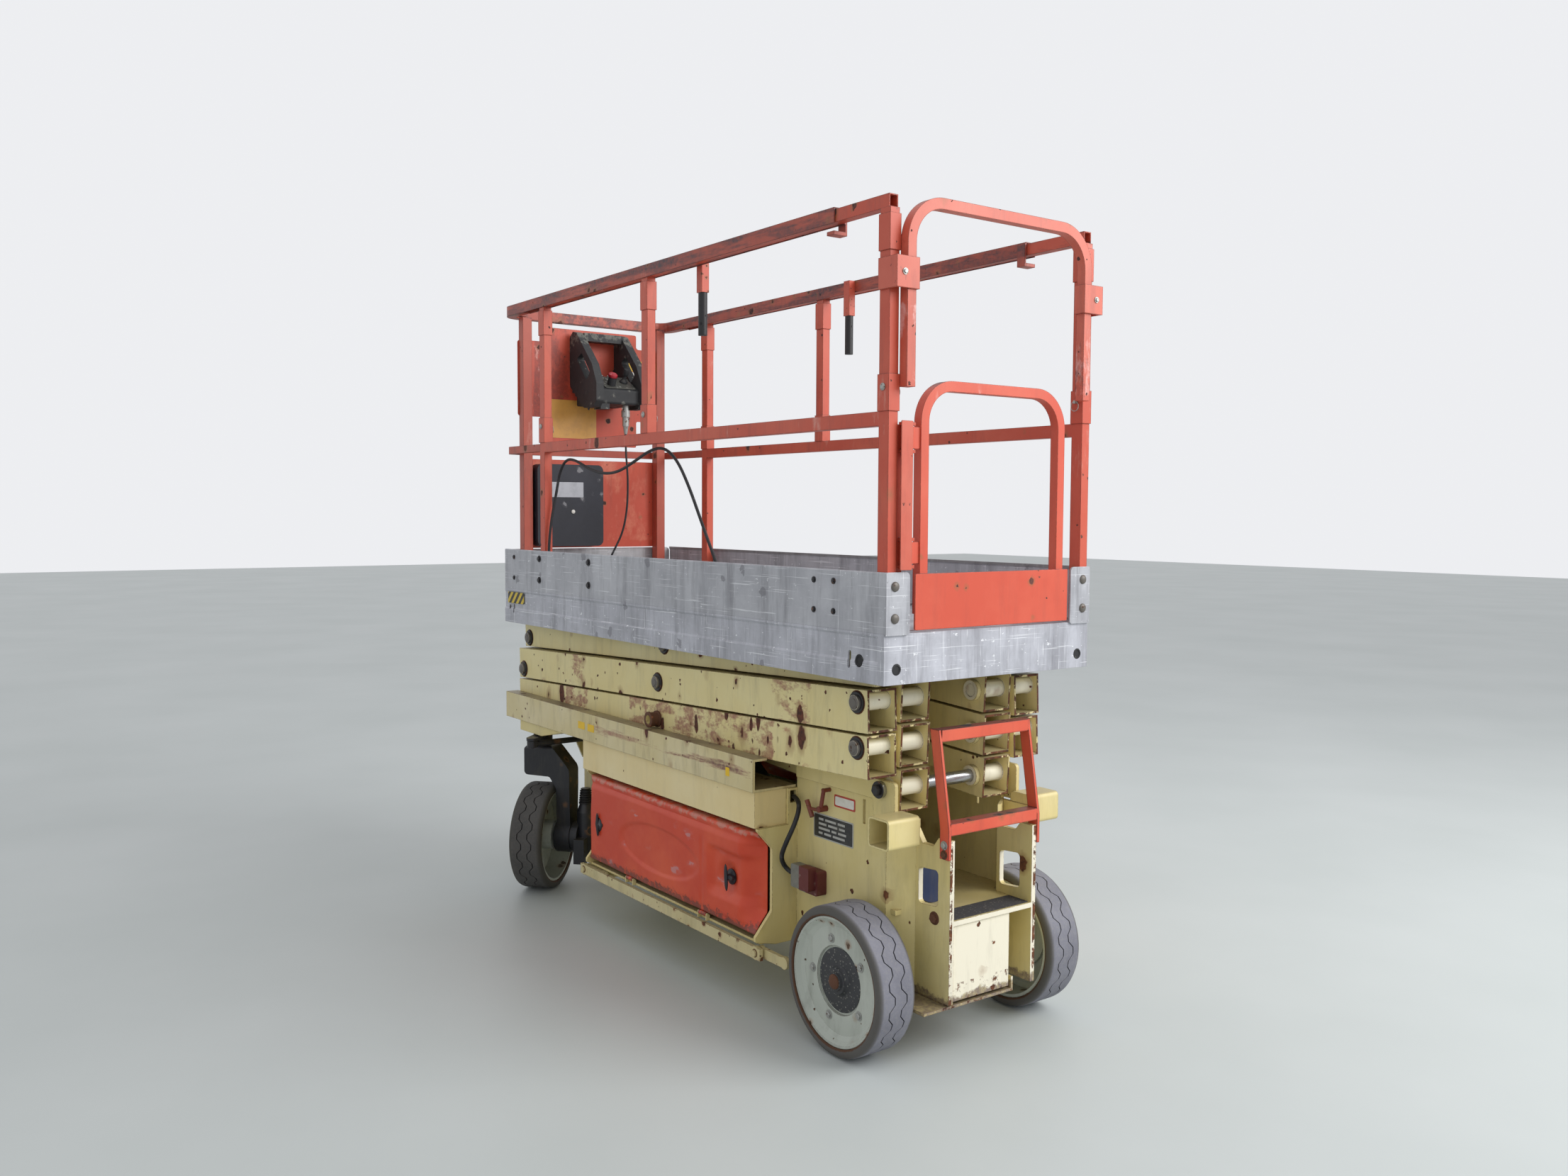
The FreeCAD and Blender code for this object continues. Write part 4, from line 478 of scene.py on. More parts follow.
# Batteries and pump set inside the chassis: black moulded cases, and a motor and tank in navy blue enamel.
# They stand on the trays and show only through the openings.
def moulded_skin(name, colour, bleached, scuff, share, spot, gloss, bands=(), tall=1.0):
    """Moulded plastic: two tones clouded together, scuffs, bands of tint by height, and a fine pebble. A band
    is (height of its faint rim, height where it is full, tint, level)."""
    material, tree, shader, place = fresh(name)
    colour = blend(tree, clouds(tree, place, 4.5, 7.0, 0.6, 0.40, 0.66)[0], colour, bleached)
    fine = put(tree, "ShaderNodeTexNoise", {"Vector": place, "Scale": 38.0, "Detail": 7.0, "Roughness": 0.7})
    z = put(tree, "ShaderNodeSeparateXYZ", {"Vector": place}).outputs[2]
    for off, full, tint, level in bands:
        within = put(tree, "ShaderNodeMapRange", {"Value": z, "From Min": off, "From Max": full})
        worn = put(tree, "ShaderNodeMath", {0: within.outputs[0], 1: 0.34, 2: fine.outputs["Fac"]},
                   operation="MULTIPLY_ADD")
        mask = put(tree, "ShaderNodeMapRange", {"Value": worn.outputs[0], "From Min": level,
                                                "From Max": level + 0.08, "To Max": 0.75})
        colour = blend(tree, mask.outputs[0], colour, tint)
    mask, halo = chips(tree, place, spot, share, ragged=0.8, tallness=tall)
    some = put(tree, "ShaderNodeMath", {0: halo, 1: 0.25, 2: mask}, operation="MULTIPLY_ADD", use_clamp=True)
    light = put(tree, "ShaderNodeMath", {0: some.outputs[0], 1: 0.5}, operation="MULTIPLY")
    colour = blend(tree, light.outputs[0], colour, scuff)
    rough = put(tree, "ShaderNodeMapRange", {"Value": fine.outputs["Fac"], "To Min": gloss - 0.08,
                                             "To Max": gloss + 0.14})
    pebble = put(tree, "ShaderNodeTexNoise", {"Vector": place, "Scale": 420.0, "Detail": 2.0})
    surface(tree, shader, colour, rough.outputs[0], pebble.outputs["Fac"], 0.14, 0.0004)
    return material


black_plastic = moulded_skin("black_moulded_plastic", "#1d1e24", "#292a31", "#77757a", 0.2, 0.03, 0.45)
dress(black_plastic, "battery_pack")
navy_enamel = worn_paint("navy_enamel", "#27365c", "#33456e", rust="#4a3b30", deep="#1d1a1a", share=0.1, gloss=0.4)
dress(navy_enamel, "pump_motor")


# Battery covers: rotationally moulded polyethylene in bright orange, hinged along their lower edge.
# The soft skin is drawn in at both ends and dished in the middle, bleached and scuffed on its top roll.
def smooth_step(value, low, high):
    """Ramp from 0 at low to 1 at high: three t squared less two t cubed."""
    t = np.clip((value - low) / (high - low), 0, 1)
    return t * t * (3 - 2 * t)


sides = ((1, "left"), (-1, "right"))
cover_skin = 0.371
cover_low = 0.2225
cover_high = 0.5235
latch_x = -0.415
latch_z = 0.360


def cover_sheet(side, columns=150):
    """Skin of a cover over length x and a path round its section: y = skin - inset - relief, where the relief
    draws both ends in, lays an oval dish, a crease, a pocket and a roll with a groove along the top, and waves a
    little."""
    quarter = np.linspace(0, math.pi / 2, 6)
    low = [(0.046, cover_low), (0.024, cover_low)]
    low += [(0.009 - 0.009 * math.sin(a), cover_low + 0.009 - 0.009 * math.cos(a)) for a in quarter]
    face = [(0.0, z) for z in np.linspace(cover_low + 0.016, cover_high - 0.022, 62)]
    high = [(0.014 - 0.014 * math.cos(a), cover_high - 0.014 + 0.014 * math.sin(a)) for a in quarter]
    high += [(0.030, cover_high), (0.046, cover_high)]
    path = np.array(low + face + high)
    inset, z = path[:, 0, None], path[:, 1, None]
    x = np.linspace(-0.563, 0.468, columns)[None]
    ends = np.maximum(1 - smooth_step(x, -0.563, -0.485), 0.6 * smooth_step(x, 0.445, 0.468))
    hollow = np.interp(z, [0.222, 0.290, 0.476, 0.524], [0, 0.056, 0.056, 0.006]) * ends
    oval = np.hypot((x + 0.015) / 0.262, (z - 0.356) / 0.080)
    dish = 0.0052 * (1 - smooth_step(oval, 0.86, 1.02))
    crease = 0.0035 * np.exp(-((x + 0.283) / 0.005) ** 2)
    crease = crease * smooth_step(z, 0.235, 0.27) * (1 - smooth_step(z, 0.44, 0.47))
    pocket_edge = smooth_step(x, -0.56, -0.50) * (1 - smooth_step(x, -0.345, -0.31))
    pocket = 0.013 * pocket_edge * smooth_step(z, 0.285, 0.325) * (1 - smooth_step(z, 0.425, 0.452))
    latch = 0.016 * np.exp(-(((x - latch_x) / 0.040) ** 2 + ((z - latch_z) / 0.044) ** 2) ** 2)
    roll = 0.006 * smooth_step(z, 0.478, 0.500) - 0.003 * smooth_step(z, 0.503, 0.511)
    groove = 0.0030 * np.exp(-((z - 0.4985) / 0.0035) ** 2)
    groove = groove * smooth_step(x, -0.36, -0.30) * (1 - smooth_step(x, 0.30, 0.36))
    skirt = 0.004 * (1 - smooth_step(z, 0.236, 0.252))
    wave = 0.0011 * np.sin(9 * x + 1) * np.sin(23 * z) + 0.0007 * np.sin(31 * x) * np.sin(40 * z + 2)
    relief = hollow + dish + crease + pocket + latch + roll + groove + skirt + wave
    y = cover_skin - np.clip(inset + np.maximum(relief, 0), 0, 0.051)
    points = np.stack(np.broadcast_arrays(x, side * y, z), -1)
    faces = grid_faces(len(path), columns, wrap=False)
    return points, faces[:, ::-1] if side > 0 else faces


orange_skin = moulded_skin("moulded_orange_polyethylene", "#d24323", "#df5832", "#c2a3a8", 0.16, 0.085, 0.36,
                           # The first band bleaches the top roll; the second darkens the skin towards its lower
                           # edge.
                           bands=[(0.488, 0.512, "#c98d7c", 0.78), (0.275, 0.232, "#5d3a33", 0.72)], tall=0.45)
barrel = [(-0.0207, 0.0034), (-0.0207, 0.0062), (-0.019, 0.007), (0.019, 0.007), (0.0207, 0.0062), (0.0207, 0.0034)]
for side, mark in sides:
    cover = build("cover_skin_" + mark, [cover_sheet(side)], orange_skin, "cover_" + mark,
                  closed=False)
    wall = cover.modifiers.new("wall", "SOLIDIFY")
    wall.thickness = 0.0035
    wall.offset = -1
    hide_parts("battery_cover_" + mark)
    knuckles = [lathe(barrel, 24, (x, side * 0.362, 0.2165), (1, 0, 0), close=True) for x in (-0.28, 0.18)]
    build("cover_knuckles_" + mark, knuckles, orange_skin, "cover_" + mark)


# Cover latches: black moulded T handles, each a tapered blade on a round neck. The rear one sits in a pocket
# of the cover and the front one on its flat skin.
def blade(centre, lean, half, width, thick):
    """Tapered bar: an oval section along z whose width falls towards both tips with the square of the height."""
    t = np.linspace(-1, 1, 15)[:, None]
    angle = np.linspace(0, 2 * math.pi, 16, endpoint=False)[None]
    keep = np.sqrt(np.clip(1 - np.abs(t) ** 6, 0, 1)) * (1 - 0.45 * t * t)
    x = centre[0] + lean * t + width / 2 * keep * np.cos(angle)
    y = centre[1] + thick / 2 * keep * np.sin(angle)
    z = centre[2] + half * t + 0 * angle
    return np.stack([x, y, z], -1).reshape(-1, 3), grid_faces(15, 16)


for side, mark in sides:
    shapes = []
    for x, seat, face in ((latch_x, 0.3445, 0.3665), (0.388, 0.3690, 0.3765)):
        shapes.append(blade((x, side * face, latch_z), 0.003, 0.042, 0.015, 0.010))
        out = face - 0.003 - seat
        neck = [(-0.006, 0), (-0.006, 0.024), (0.003, 0.024), (0.006, 0.019), (0.008, 0.010), (out, 0.009),
                (out, 0)]
        shapes.append(lathe(neck, 28, (x, side * seat, latch_z), (0, side, 0)))
        bridge = (x - 0.016, side * (face - 0.0105), 0.362)
        shapes.append(slab(bridge, (-side, 0, 0), (0, 0, 1), (0.026, 0.013, 0.009), 0.005, 0.002))
    build("cover_latches_" + mark, shapes, black_plastic, "cover_" + mark)


# Battery plug and lowering handle: a maroon connector body with a grey clip on the side plate, and a T handle
# bent from bar, in dark red enamel that has mostly rusted.
def two_tone(material, axis, low, high, tints, ragged=0.0):
    """Second colour past a plane: between two places along an axis, shaken by noise, the material's own colour
    gives way to a mottle of two tints."""
    tree = material.node_tree
    shader = tree.nodes["Principled BSDF"]
    source = shader.inputs["Base Color"].links[0].from_socket
    place = put(tree, "ShaderNodeTexCoord", {}).outputs["Object"]
    along = put(tree, "ShaderNodeSeparateXYZ", {"Vector": place}).outputs[axis]
    fine = put(tree, "ShaderNodeTexNoise", {"Vector": place, "Scale": 60.0, "Detail": 5.0})
    shaken = put(tree, "ShaderNodeMath", {0: fine.outputs["Fac"], 1: ragged, 2: along}, operation="MULTIPLY_ADD")
    share = put(tree, "ShaderNodeMapRange", {"Value": shaken.outputs[0], "From Min": low, "From Max": high})
    mottle = blend(tree, fine.outputs["Fac"], *tints)
    tree.links.new(blend(tree, share.outputs[0], source, mottle), shader.inputs["Base Color"])
    return material


maroon_plastic = moulded_skin("maroon_connector_plastic", "#5a2324", "#6b2f2c", "#a39284", 0.4, 0.02, 0.5)
dress(two_tone(maroon_plastic, 0, -0.668, -0.665, ("#66665f", "#8d8b82"), ragged=0.0024), "battery_connector")
red_handle = worn_paint("dark_red_enamel", "#6b2a20", "#7d3a2c", share=0.5, spot=0.015, grime=0.5)
dress(red_handle, "lowering_handle")


# Ladder and step: flat orange bar with its corners rubbed to dark steel, bolted outside the tail plates,
# over a folded step covered with black grit strip.
ladder_enamel = worn_paint("orange_enamel_on_bar", "#d9543b", "#e2654a", rust="#4b3836", deep="#26252a",
                           share=0.22, spot=0.05, edge=0.005, edge_level=0.27, grime=0.25, topped=0.85,
                           dust="#3a3638")
dress(ladder_enamel, "ladder")
for name, z, metal in (("ladder_bolts", 0.588, zinc_steel), ("ladder_low_bolts", 0.563, rusty_steel)):
    bolts = [part for side in (1, -1) for part in bolt((-1.156, side * 0.1712, z), (0, side, 0), 0.0085)]
    build(name, bolts, metal, "chassis")
grit = plain_metal("black_grit_strip", "#3a393c", 0.85, 0.0, "#6b675f", 0.5, 0.006)
strip = slab((-1.126, 0, 0.3843), (0, 1, 0), (-1, 0, 0), (0.286, 0.075, 0.0016), 0.006)
build("step_grip", [strip], grit, "chassis")


# Steering: knuckles, motors and tie rod are castings and bar sprayed black, now dusty. A ribbed rubber boot
# covers each motor's lead.
black_enamel = worn_paint("black_enamel_on_casting", "#1d1e23", "#2a2b31", rust="#4d4844", deep="#2b2522",
                          share=0.2, spot=0.04, gloss=0.42, grime=0.4, dust="#5c574e")
dress(black_enamel, "knuckle_left", "knuckle_right", "tie_rod")
matt_rubber = moulded_skin("black_moulded_rubber", "#1b1b1d", "#252527", "#5f5c56", 0.3, 0.02, 0.62)
steer = math.radians(-47)
rib_pitch = 0.009
rib_shrink = 0.0008
boot_profile = [(0.0, 0.0), (0.0, 0.0265)]
for rib in range(6):
    boot_profile += [(rise + rib * rib_pitch, radius - rib * rib_shrink)
                     for rise, radius in ((0.002, 0.0265), (0.005, 0.0265), (0.0065, 0.0212), (0.0085, 0.0212))]
boot_profile += [(0.057, 0.0195), (0.058, 0.0)]
for mark, x, y in (("left", 0.819, 0.200), ("right", 1.071, -0.200)):
    boot = lathe(boot_profile, 32, (x, y, 0.3335), (0, 0, 1))
    build("lead_boot_" + mark, [boot], matt_rubber, "steer_" + mark)


# Wheels: pressed steel discs in pale grey green enamel under solid non-marking tyres, held by five
# plated bolts, with a greasy dark hub plate and a rusty axle nut in the middle.
rim_enamel = worn_paint("pale_enamel_on_disc", "#b4bab0", "#c0c5bb", rust="#6a5544", deep="#3b2d26", share=0.16,
                        spot=0.035, edge=0.003, edge_level=0.40, grime=0.5, dust="#77776c")
dress(rim_enamel, "rear_hub_left", "rear_hub_right", "front_hub_left", "front_hub_right")
greasy_plate = plain_metal("greasy_hub_steel", "#3a3b3e", 0.5, 0.1, "#8b8a82", 0.5, 0.006)


def solid_rubber(name, code, worn, dust, wall):
    """Solid tyre rubber: two clouded tones, dirty walls, grooves coloured near black as painted shade, and a rusty
    bead, told apart by the mesh's attribute part: -1 in a groove, 0 on the tread, 1 on a wall and 2 at the bead."""
    material, tree, shader, place = fresh(name)
    colour = blend(tree, clouds(tree, place, 9.0, 10.0, 0.7, 0.36, 0.66)[0], code, worn)
    thin, fine = clouds(tree, place, 130.0, 6.0, 0.75, 0.48, 0.70, 0.4)
    colour = blend(tree, thin, colour, dust)
    part = put(tree, "ShaderNodeAttribute", {}, attribute_name="part").outputs["Fac"]
    beside = put(tree, "ShaderNodeMapRange", {"Value": part, "To Max": 0.85})
    colour = blend(tree, beside.outputs[0], colour, wall)
    rusted = put(tree, "ShaderNodeMath", {0: fine, 1: 0.8, 2: part}, operation="MULTIPLY_ADD")
    bead = put(tree, "ShaderNodeMapRange", {"Value": rusted.outputs[0], "From Min": 1.75, "From Max": 2.0})
    colour = blend(tree, bead.outputs[0], colour, "#553824")
    # Painted shade: the grooves are coloured near black for the shade inside them.
    cut = put(tree, "ShaderNodeMapRange", {"Value": part, "From Min": -0.1, "From Max": -0.9})
    surface(tree, shader, blend(tree, cut.outputs[0], colour, "#17171a"), 0.82, fine, 0.35, 0.0008)
    return material


grey_rubber = solid_rubber("grey_non_marking_rubber", "#767680", "#868690", "#9a9893", "#504d45")
dark_rubber = solid_rubber("dusty_dark_rubber", "#4a4948", "#575553", "#6b675f", "#48463f")
tread_radius = 0.2028
bead_radius = 0.1757


def tyre_surface(centre, heading, waves=17, turns=408):
    """Solid tyre: a closed profile carried round the axle. Two narrow grooves are cut into the tread, and
    they and the strips beside them step from side to side in a zigzag with flat runs."""
    edge = [(-0.0600, bead_radius), (-0.0618, 0.179), (-0.0622, 0.186), (-0.0616, 0.192), (-0.0585, 0.1975),
            (-0.0535, 0.2012), (-0.0475, tread_radius), (-0.0400, tread_radius)]
    grooves = []
    for middle in (-0.020, 0.020):
        half = 0.0019
        grooves += [(middle - 0.009, tread_radius), (middle - half, tread_radius),
                    (middle - half + 0.0004, tread_radius - 0.0042), (middle + half - 0.0004, tread_radius - 0.0042),
                    (middle + half, tread_radius), (middle + 0.009, tread_radius)]
    other = [(-w, r) for w, r in reversed(edge)]
    profile = np.array(edge + grooves + other)
    angle = np.linspace(0, 2 * math.pi, turns, endpoint=False)
    swing = np.clip((np.abs((angle * waves / (2 * math.pi)) % 1 - 0.5) * 4 - 1) * 2.0, -1, 1)
    share = np.clip((0.046 - np.abs(profile[:, 0])) / 0.012, 0, 1)
    across = profile[:, 0, None] + 0.0085 * share[:, None] * swing[None]
    wear = 0.0007 * (0.5 + 0.5 * np.sin(angle * 3 + 1)) + 0.0005 * (0.5 + 0.5 * np.sin(angle * 11))
    radius = profile[:, 1, None] - wear[None] * (np.abs(profile[:, 0, None]) < 0.055)
    along = (math.cos(heading), math.sin(heading))
    axle = (-math.sin(heading), math.cos(heading))
    x = centre[0] + radius * np.cos(angle) * along[0] + across * axle[0]
    y = centre[1] + radius * np.cos(angle) * along[1] + across * axle[1]
    z = centre[2] + radius * np.sin(angle)
    return np.stack([x, y, z], -1).reshape(-1, 3), grid_faces(len(profile), turns, close=True)


axle_height = 0.203
half_track = 0.3175
disc_face = 0.0382
bolt_circle = 0.112
hub_profile = [(0.030, 0), (0.030, 0.0865), (0.0335, 0.0865), (0.0345, 0.0835), (0.0338, 0.060), (0.0350, 0.042),
               (0.0400, 0.0372), (0.0468, 0.0352), (0.0474, 0.0262), (0.0526, 0.0250), (0.0526, 0)]
nut_profile = [(0.0522, 0), (0.0522, 0.0205), (0.0555, 0.0200), (0.0590, 0.0160), (0.0612, 0.0090), (0.0618, 0)]
for end, side, mark in (("rear", 1, "left"), ("rear", -1, "right"), ("front", 1, "left"), ("front", -1, "right")):
    axle_x, heading, rubber, tint = {"rear": (-0.947, 0.0, grey_rubber, "grey_tyre"),
                                     "front": (0.945, steer, dark_rubber, "dark_tyre")}[end]
    centre = (axle_x, side * half_track, axle_height)
    where = "%s_%s" % (end, mark)
    body = "%s_wheel_%s" % (end, mark)
    tread = build("tread_" + where, [tyre_surface(centre, heading)], rubber, body)
    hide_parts("%s_tyre_%s" % (end, mark))
    axle = Vector((-math.sin(heading), math.cos(heading), 0)) * side
    spots = np.empty(len(tread.data.vertices) * 3)
    tread.data.vertices.foreach_get("co", spots)
    away = spots.reshape(-1, 3) - centre
    offset = np.abs(away @ np.array(axle))
    radius = np.sqrt((away ** 2).sum(1) - offset ** 2)
    part = np.clip((offset - 0.049) / 0.006, 0, 1) + np.clip((0.183 - radius) / 0.007, 0, 1)
    part = np.where((offset < 0.045) & (radius < tread_radius - 0.0030), -1.0, part)
    tread.data.attributes.new("part", "FLOAT", "POINT").data.foreach_set("value", part)
    along = Vector((math.cos(heading), math.sin(heading), 0))
    bolts = []
    for i in range(5):
        turn = 2 * math.pi * i / 5 + 0.04
        radial = along * math.cos(turn) + Vector((0, 0, 1)) * math.sin(turn)
        bolts += bolt(Vector(centre) + axle * disc_face + radial * bolt_circle, axle, 0.0088)
    build("disc_bolts_" + where, bolts, zinc_steel, body)
    build("hub_plate_" + where, [lathe(hub_profile, 48, centre, axle)], greasy_plate, body)
    build("axle_nut_" + where, [lathe(nut_profile, 24, centre, axle)], rusty_steel, body)


# Arms: welded box sections in the same cream, rubbed through to pink primer where the forks and
# straps have scraped the lowest pair. White sleeves hold the pins, which end in worn black heads.
cream = "#e6d596"
pale_cream = "#ecdfa8"
pin_middle = 0.0625
pin_reach = 1.0395
pin_low = 0.713
pin_step = 0.122
raw = "#9f6755"
mottled = (13.0, 13.0, 24.0)
arm_looks = {
    "outer_arms_1": dict(share=0.28, spot=0.06, tall=1.9, rust="#6b3a28",
                         zones=[((-0.68, 0.2, 0.40), (0.34, 0.6, 1.2), raw, 0.46, mottled),
                                ((0.48, 0.2, 0.40), (0.82, 0.6, 1.2), raw, 0.45, mottled),
                                ((-0.95, 0.2, 0.40), (-0.55, 0.6, 1.2), "#b57f60", 0.56, (9.0, 9.0, 16.0))],
                         drips=[((-0.66, -0.4, 0.40), (0.32, 0.5, 1.2))]),
    "outer_arms_2": dict(share=0.26, spot=0.055, tall=1.3, rust="#6b3a28",
                         zones=[((-0.86, 0.2, 0.60), (-0.50, 0.6, 1.3), raw, 0.49, mottled),
                                ((0.50, 0.2, 0.60), (0.80, 0.6, 1.3), raw, 0.51, mottled)]),
    "outer_arms_3": dict(share=0.12, spot=0.05, tall=0.7),
    **{"inner_arms_%d" % level: dict(share=0.12, spot=0.05) for level in (1, 2, 3)},
}
for name, look in arm_looks.items():
    material = worn_paint("cream_enamel_" + name, cream, pale_cream, edge=0.003, edge_level=0.43, topped=0.6,
                          pins=(pin_middle, pin_reach, pin_low, pin_step),
                          ends=[((-1.04, -0.4, 0.6), (-1.01, 0.4, 1.2), 0.43)], **look)
    dress(material, name)
polished_steel = plain_metal("polished_pin_steel", "#a9abad", 0.25, 0.9, "#6f6a64", 0.3, 0.02)
dress(polished_steel, "base_pivot_shaft", "lift_rod")
dress(black_enamel, "lift_barrel")
dark_nylon = moulded_skin("worn_nylon", "#2a2a2e", "#38383c", "#6d6c68", 0.3, 0.02, 0.5)
dress(dark_nylon, "lower_slide_blocks", "upper_slide_blocks")

stub = [(0.0005, 0.0224), (0.0005, 0.0275), (0.0060, 0.0275), (0.0075, 0.0236), (0.0290, 0.0236), (0.0305, 0.0262),
        (0.0368, 0.0262), (0.0376, 0.0250), (0.0376, 0.0150), (0.0372, 0.0150), (0.0372, 0.0224)]
low_arm_side = 0.323
high_arm_side = 0.298
tubes = [lathe(stub, 36, (pin_middle, side * low_arm_side, pin_low + pin_step / 2), (0, side, 0), close=True)
         for side in (1, -1)]
build("open_pin_ends", tubes, rusty_steel, "outer_1")

worn_dome = plain_metal("worn_pin_steel", "#6f6a64", 0.5, 0.35, "#4a3020", 0.5, 0.010)
rust_ring = plain_metal("rust_stain", "#5a3320", 0.85, 0.0, "#8a5a35", 0.5, 0.006)
stain_ring = [(0.0001, 0), (0.0001, 0.0325), (0.0006, 0.0318), (0.0006, 0)]
pin_washer = [(0.0002, 0), (0.0002, 0.0292), (0.0045, 0.0292), (0.0056, 0.0280), (0.0056, 0)]
pin_dome = [(0.0050, 0), (0.0050, 0.0215), (0.0120, 0.0210), (0.0138, 0.0180), (0.0150, 0.0120), (0.0162, 0.0115),
            (0.0170, 0)]
rear_end = (pin_middle - pin_reach, pin_step / 2)
crossing = (pin_middle, 0)
front_end = (pin_middle + pin_reach, -pin_step / 2)
for level, places in ((1, (rear_end,)), (2, (rear_end, crossing, front_end)), (3, (crossing, front_end))):
    mid = pin_low + (level - 0.5) * pin_step
    y = low_arm_side if level < 3 else high_arm_side
    spots = [((x, side * y, mid + rise), (0, side, 0)) for x, rise in places for side in (1, -1)]
    for name, profile, turns, metal, slot in (("pin_washers_%d", pin_washer, 36, black_oxide, "black_paint"),
                                              ("pin_domes_%d", pin_dome, 32, worn_dome, "dull_steel"),
                                              ("pin_rust_%d", stain_ring, 36, rust_ring, "dull_steel")):
        build(name % level, [lathe(profile, turns, *spot) for spot in spots], metal, "outer_%d" % level)


# Platform: extruded aluminium sides and deck, never painted, scratched bright at the entry
# and stained dull grey along the sides by rain and old adhesive.
def scratched_metal(name, code, pale, stain, streaks, scratch, dark=0.0):
    """Aluminium: cloudy oxide, stains run down by stretched noise, and long thin pale scratches. Dark is the
    distance from the middle plane within which the toe boards' inner faces get painted shade."""
    material, tree, shader, place = fresh(name)
    swing, cloud = clouds(tree, place, 5.0, 9.0, 0.68, 0.36, 0.66)
    colour = blend(tree, swing, code, pale)
    run = put(tree, "ShaderNodeMapping", {"Vector": place, "Scale": (14.0, 14.0, 1.4)})
    wet = clouds(tree, run.outputs[0], 1.6, 8.0, 0.68, 0.47, 0.72, streaks)[0]
    colour = blend(tree, wet, colour, stain)
    for stretch, level in (((2.2, 2.2, 150.0), 0.63), ((130.0, 130.0, 3.0), 0.65), ((26.0, 26.0, 40.0), 0.67)):
        drawn = put(tree, "ShaderNodeMapping", {"Vector": place, "Scale": stretch, "Rotation": (0.06, 0.05, 0.0)})
        bright = clouds(tree, drawn.outputs[0], 2.0, 3.0, 0.6, level, level + 0.04, scratch)[0]
        colour = blend(tree, bright, colour, "#f0f1f4")
    rim, soft, _ = worn_edges(tree, 0.002)
    shine = put(tree, "ShaderNodeMath", {0: rim, 1: 0.35}, operation="MULTIPLY")
    colour = blend(tree, shine.outputs[0], colour, "#e6e7ea")
    spot = chips(tree, place, 0.05, 0.18, ragged=0.6)[0]
    mark = put(tree, "ShaderNodeMath", {0: spot, 1: 0.6}, operation="MULTIPLY")
    colour = blend(tree, mark.outputs[0], colour, stain)
    # Painted shade: the toe boards' inner faces are darkened for the shade inside the platform.
    if dark:
        within = inside(tree, place, (-1.142, -dark, 1.1), (1.2, dark, 1.4), 0.002)
        colour = blend(tree, within, colour, "#67635f")
    shader.inputs["Metallic"].default_value = 0.25
    dull = put(tree, "ShaderNodeMapRange", {"Value": cloud, "To Min": 0.38, "To Max": 0.62})
    surface(tree, shader, colour, dull.outputs[0], cloud, 0.3, 0.0008, Normal=soft)
    return material


side_aluminium = scratched_metal("stained_aluminium", "#abacb3", "#c9cad2", "#77767d", 0.7, 0.85)
board_aluminium = scratched_metal("dull_aluminium_painted_shade_inside", "#a9aab0", "#c2c3c8", "#727177", 0.7, 0.6, dark=0.3735)
bright_aluminium = scratched_metal("scratched_aluminium", "#a5a6a8", "#bcbdbf", "#6d6c6e", 0.5, 0.7)
dress(side_aluminium, "deck_frame")
dress(board_aluminium, "toe_boards")
dress(bright_aluminium, "extension_deck")
dress(zinc_steel, "platform_hangers")

carriage = [(0, 0), (0, 0.0130), (0.0022, 0.0124), (0.0048, 0.0090), (0.0062, 0.0045), (0.0066, 0)]
corner_bolts = [lathe(carriage, 28, (-1.1562, side * 0.350, z), (-1, 0, 0))
                for side in (1, -1) for z in (1.273, 1.192)]
plug = [(0, 0), (0, 0.0146), (0.0030, 0.0146), (0.0036, 0.0110), (0.0016, 0.0095), (0.0016, 0)]
wide_plug = [(height, radius * 1.13) for height, radius in plug]
plugs = []
for side in (1, -1):
    plugs.append(lathe(plug, 28, (-1.1475, side * 0.338, 1.062), (-1, 0, 0)))
    plugs.append(lathe(wide_plug, 28, (-1.050, side * 0.3745, 1.078), (0, side, 0)))
build("corner_plate_bolts", corner_bolts, worn_dome, "platform")
build("skirt_plugs", plugs, matt_rubber, "platform")
board_face = 0.3792
side_bolts = []
for side in (1, -1):
    for z in (1.279, 1.199):
        for x, radius in ((1.065, 0.006), (0.839, 0.009), (0.443, 0.009), (-0.858, 0.006), (-0.943, 0.006)):
            side_bolts += bolt((x, side * board_face, z), (0, side, 0), radius)
build("toe_board_bolts", side_bolts, black_oxide, "platform")

hazard, tree, shader, place = fresh("hazard_stripe_film")
turned = put(tree, "ShaderNodeMapping", {"Vector": place, "Rotation": (0.0, 0.785, 0.0)})
bars = put(tree, "ShaderNodeTexWave", {"Vector": turned.outputs[0], "Scale": 10.5, "Distortion": 0.0})
step = put(tree, "ShaderNodeMapRange", {"Value": bars.outputs["Fac"], "From Min": 0.48, "From Max": 0.52})
tree.links.new(blend(tree, step.outputs[0], "#26241f", "#d8ba33"), shader.inputs["Base Color"])
shader.inputs["Roughness"].default_value = 0.45
for side, mark in sides:
    strip = slab((1.0475, side * outer_side, 1.1205), (-side, 0, 0), (0, 0, 1), (0.145, 0.043, 0.0006), 0.002,
                 0.0002)
    build("hazard_film_" + mark, [strip], hazard, "platform")


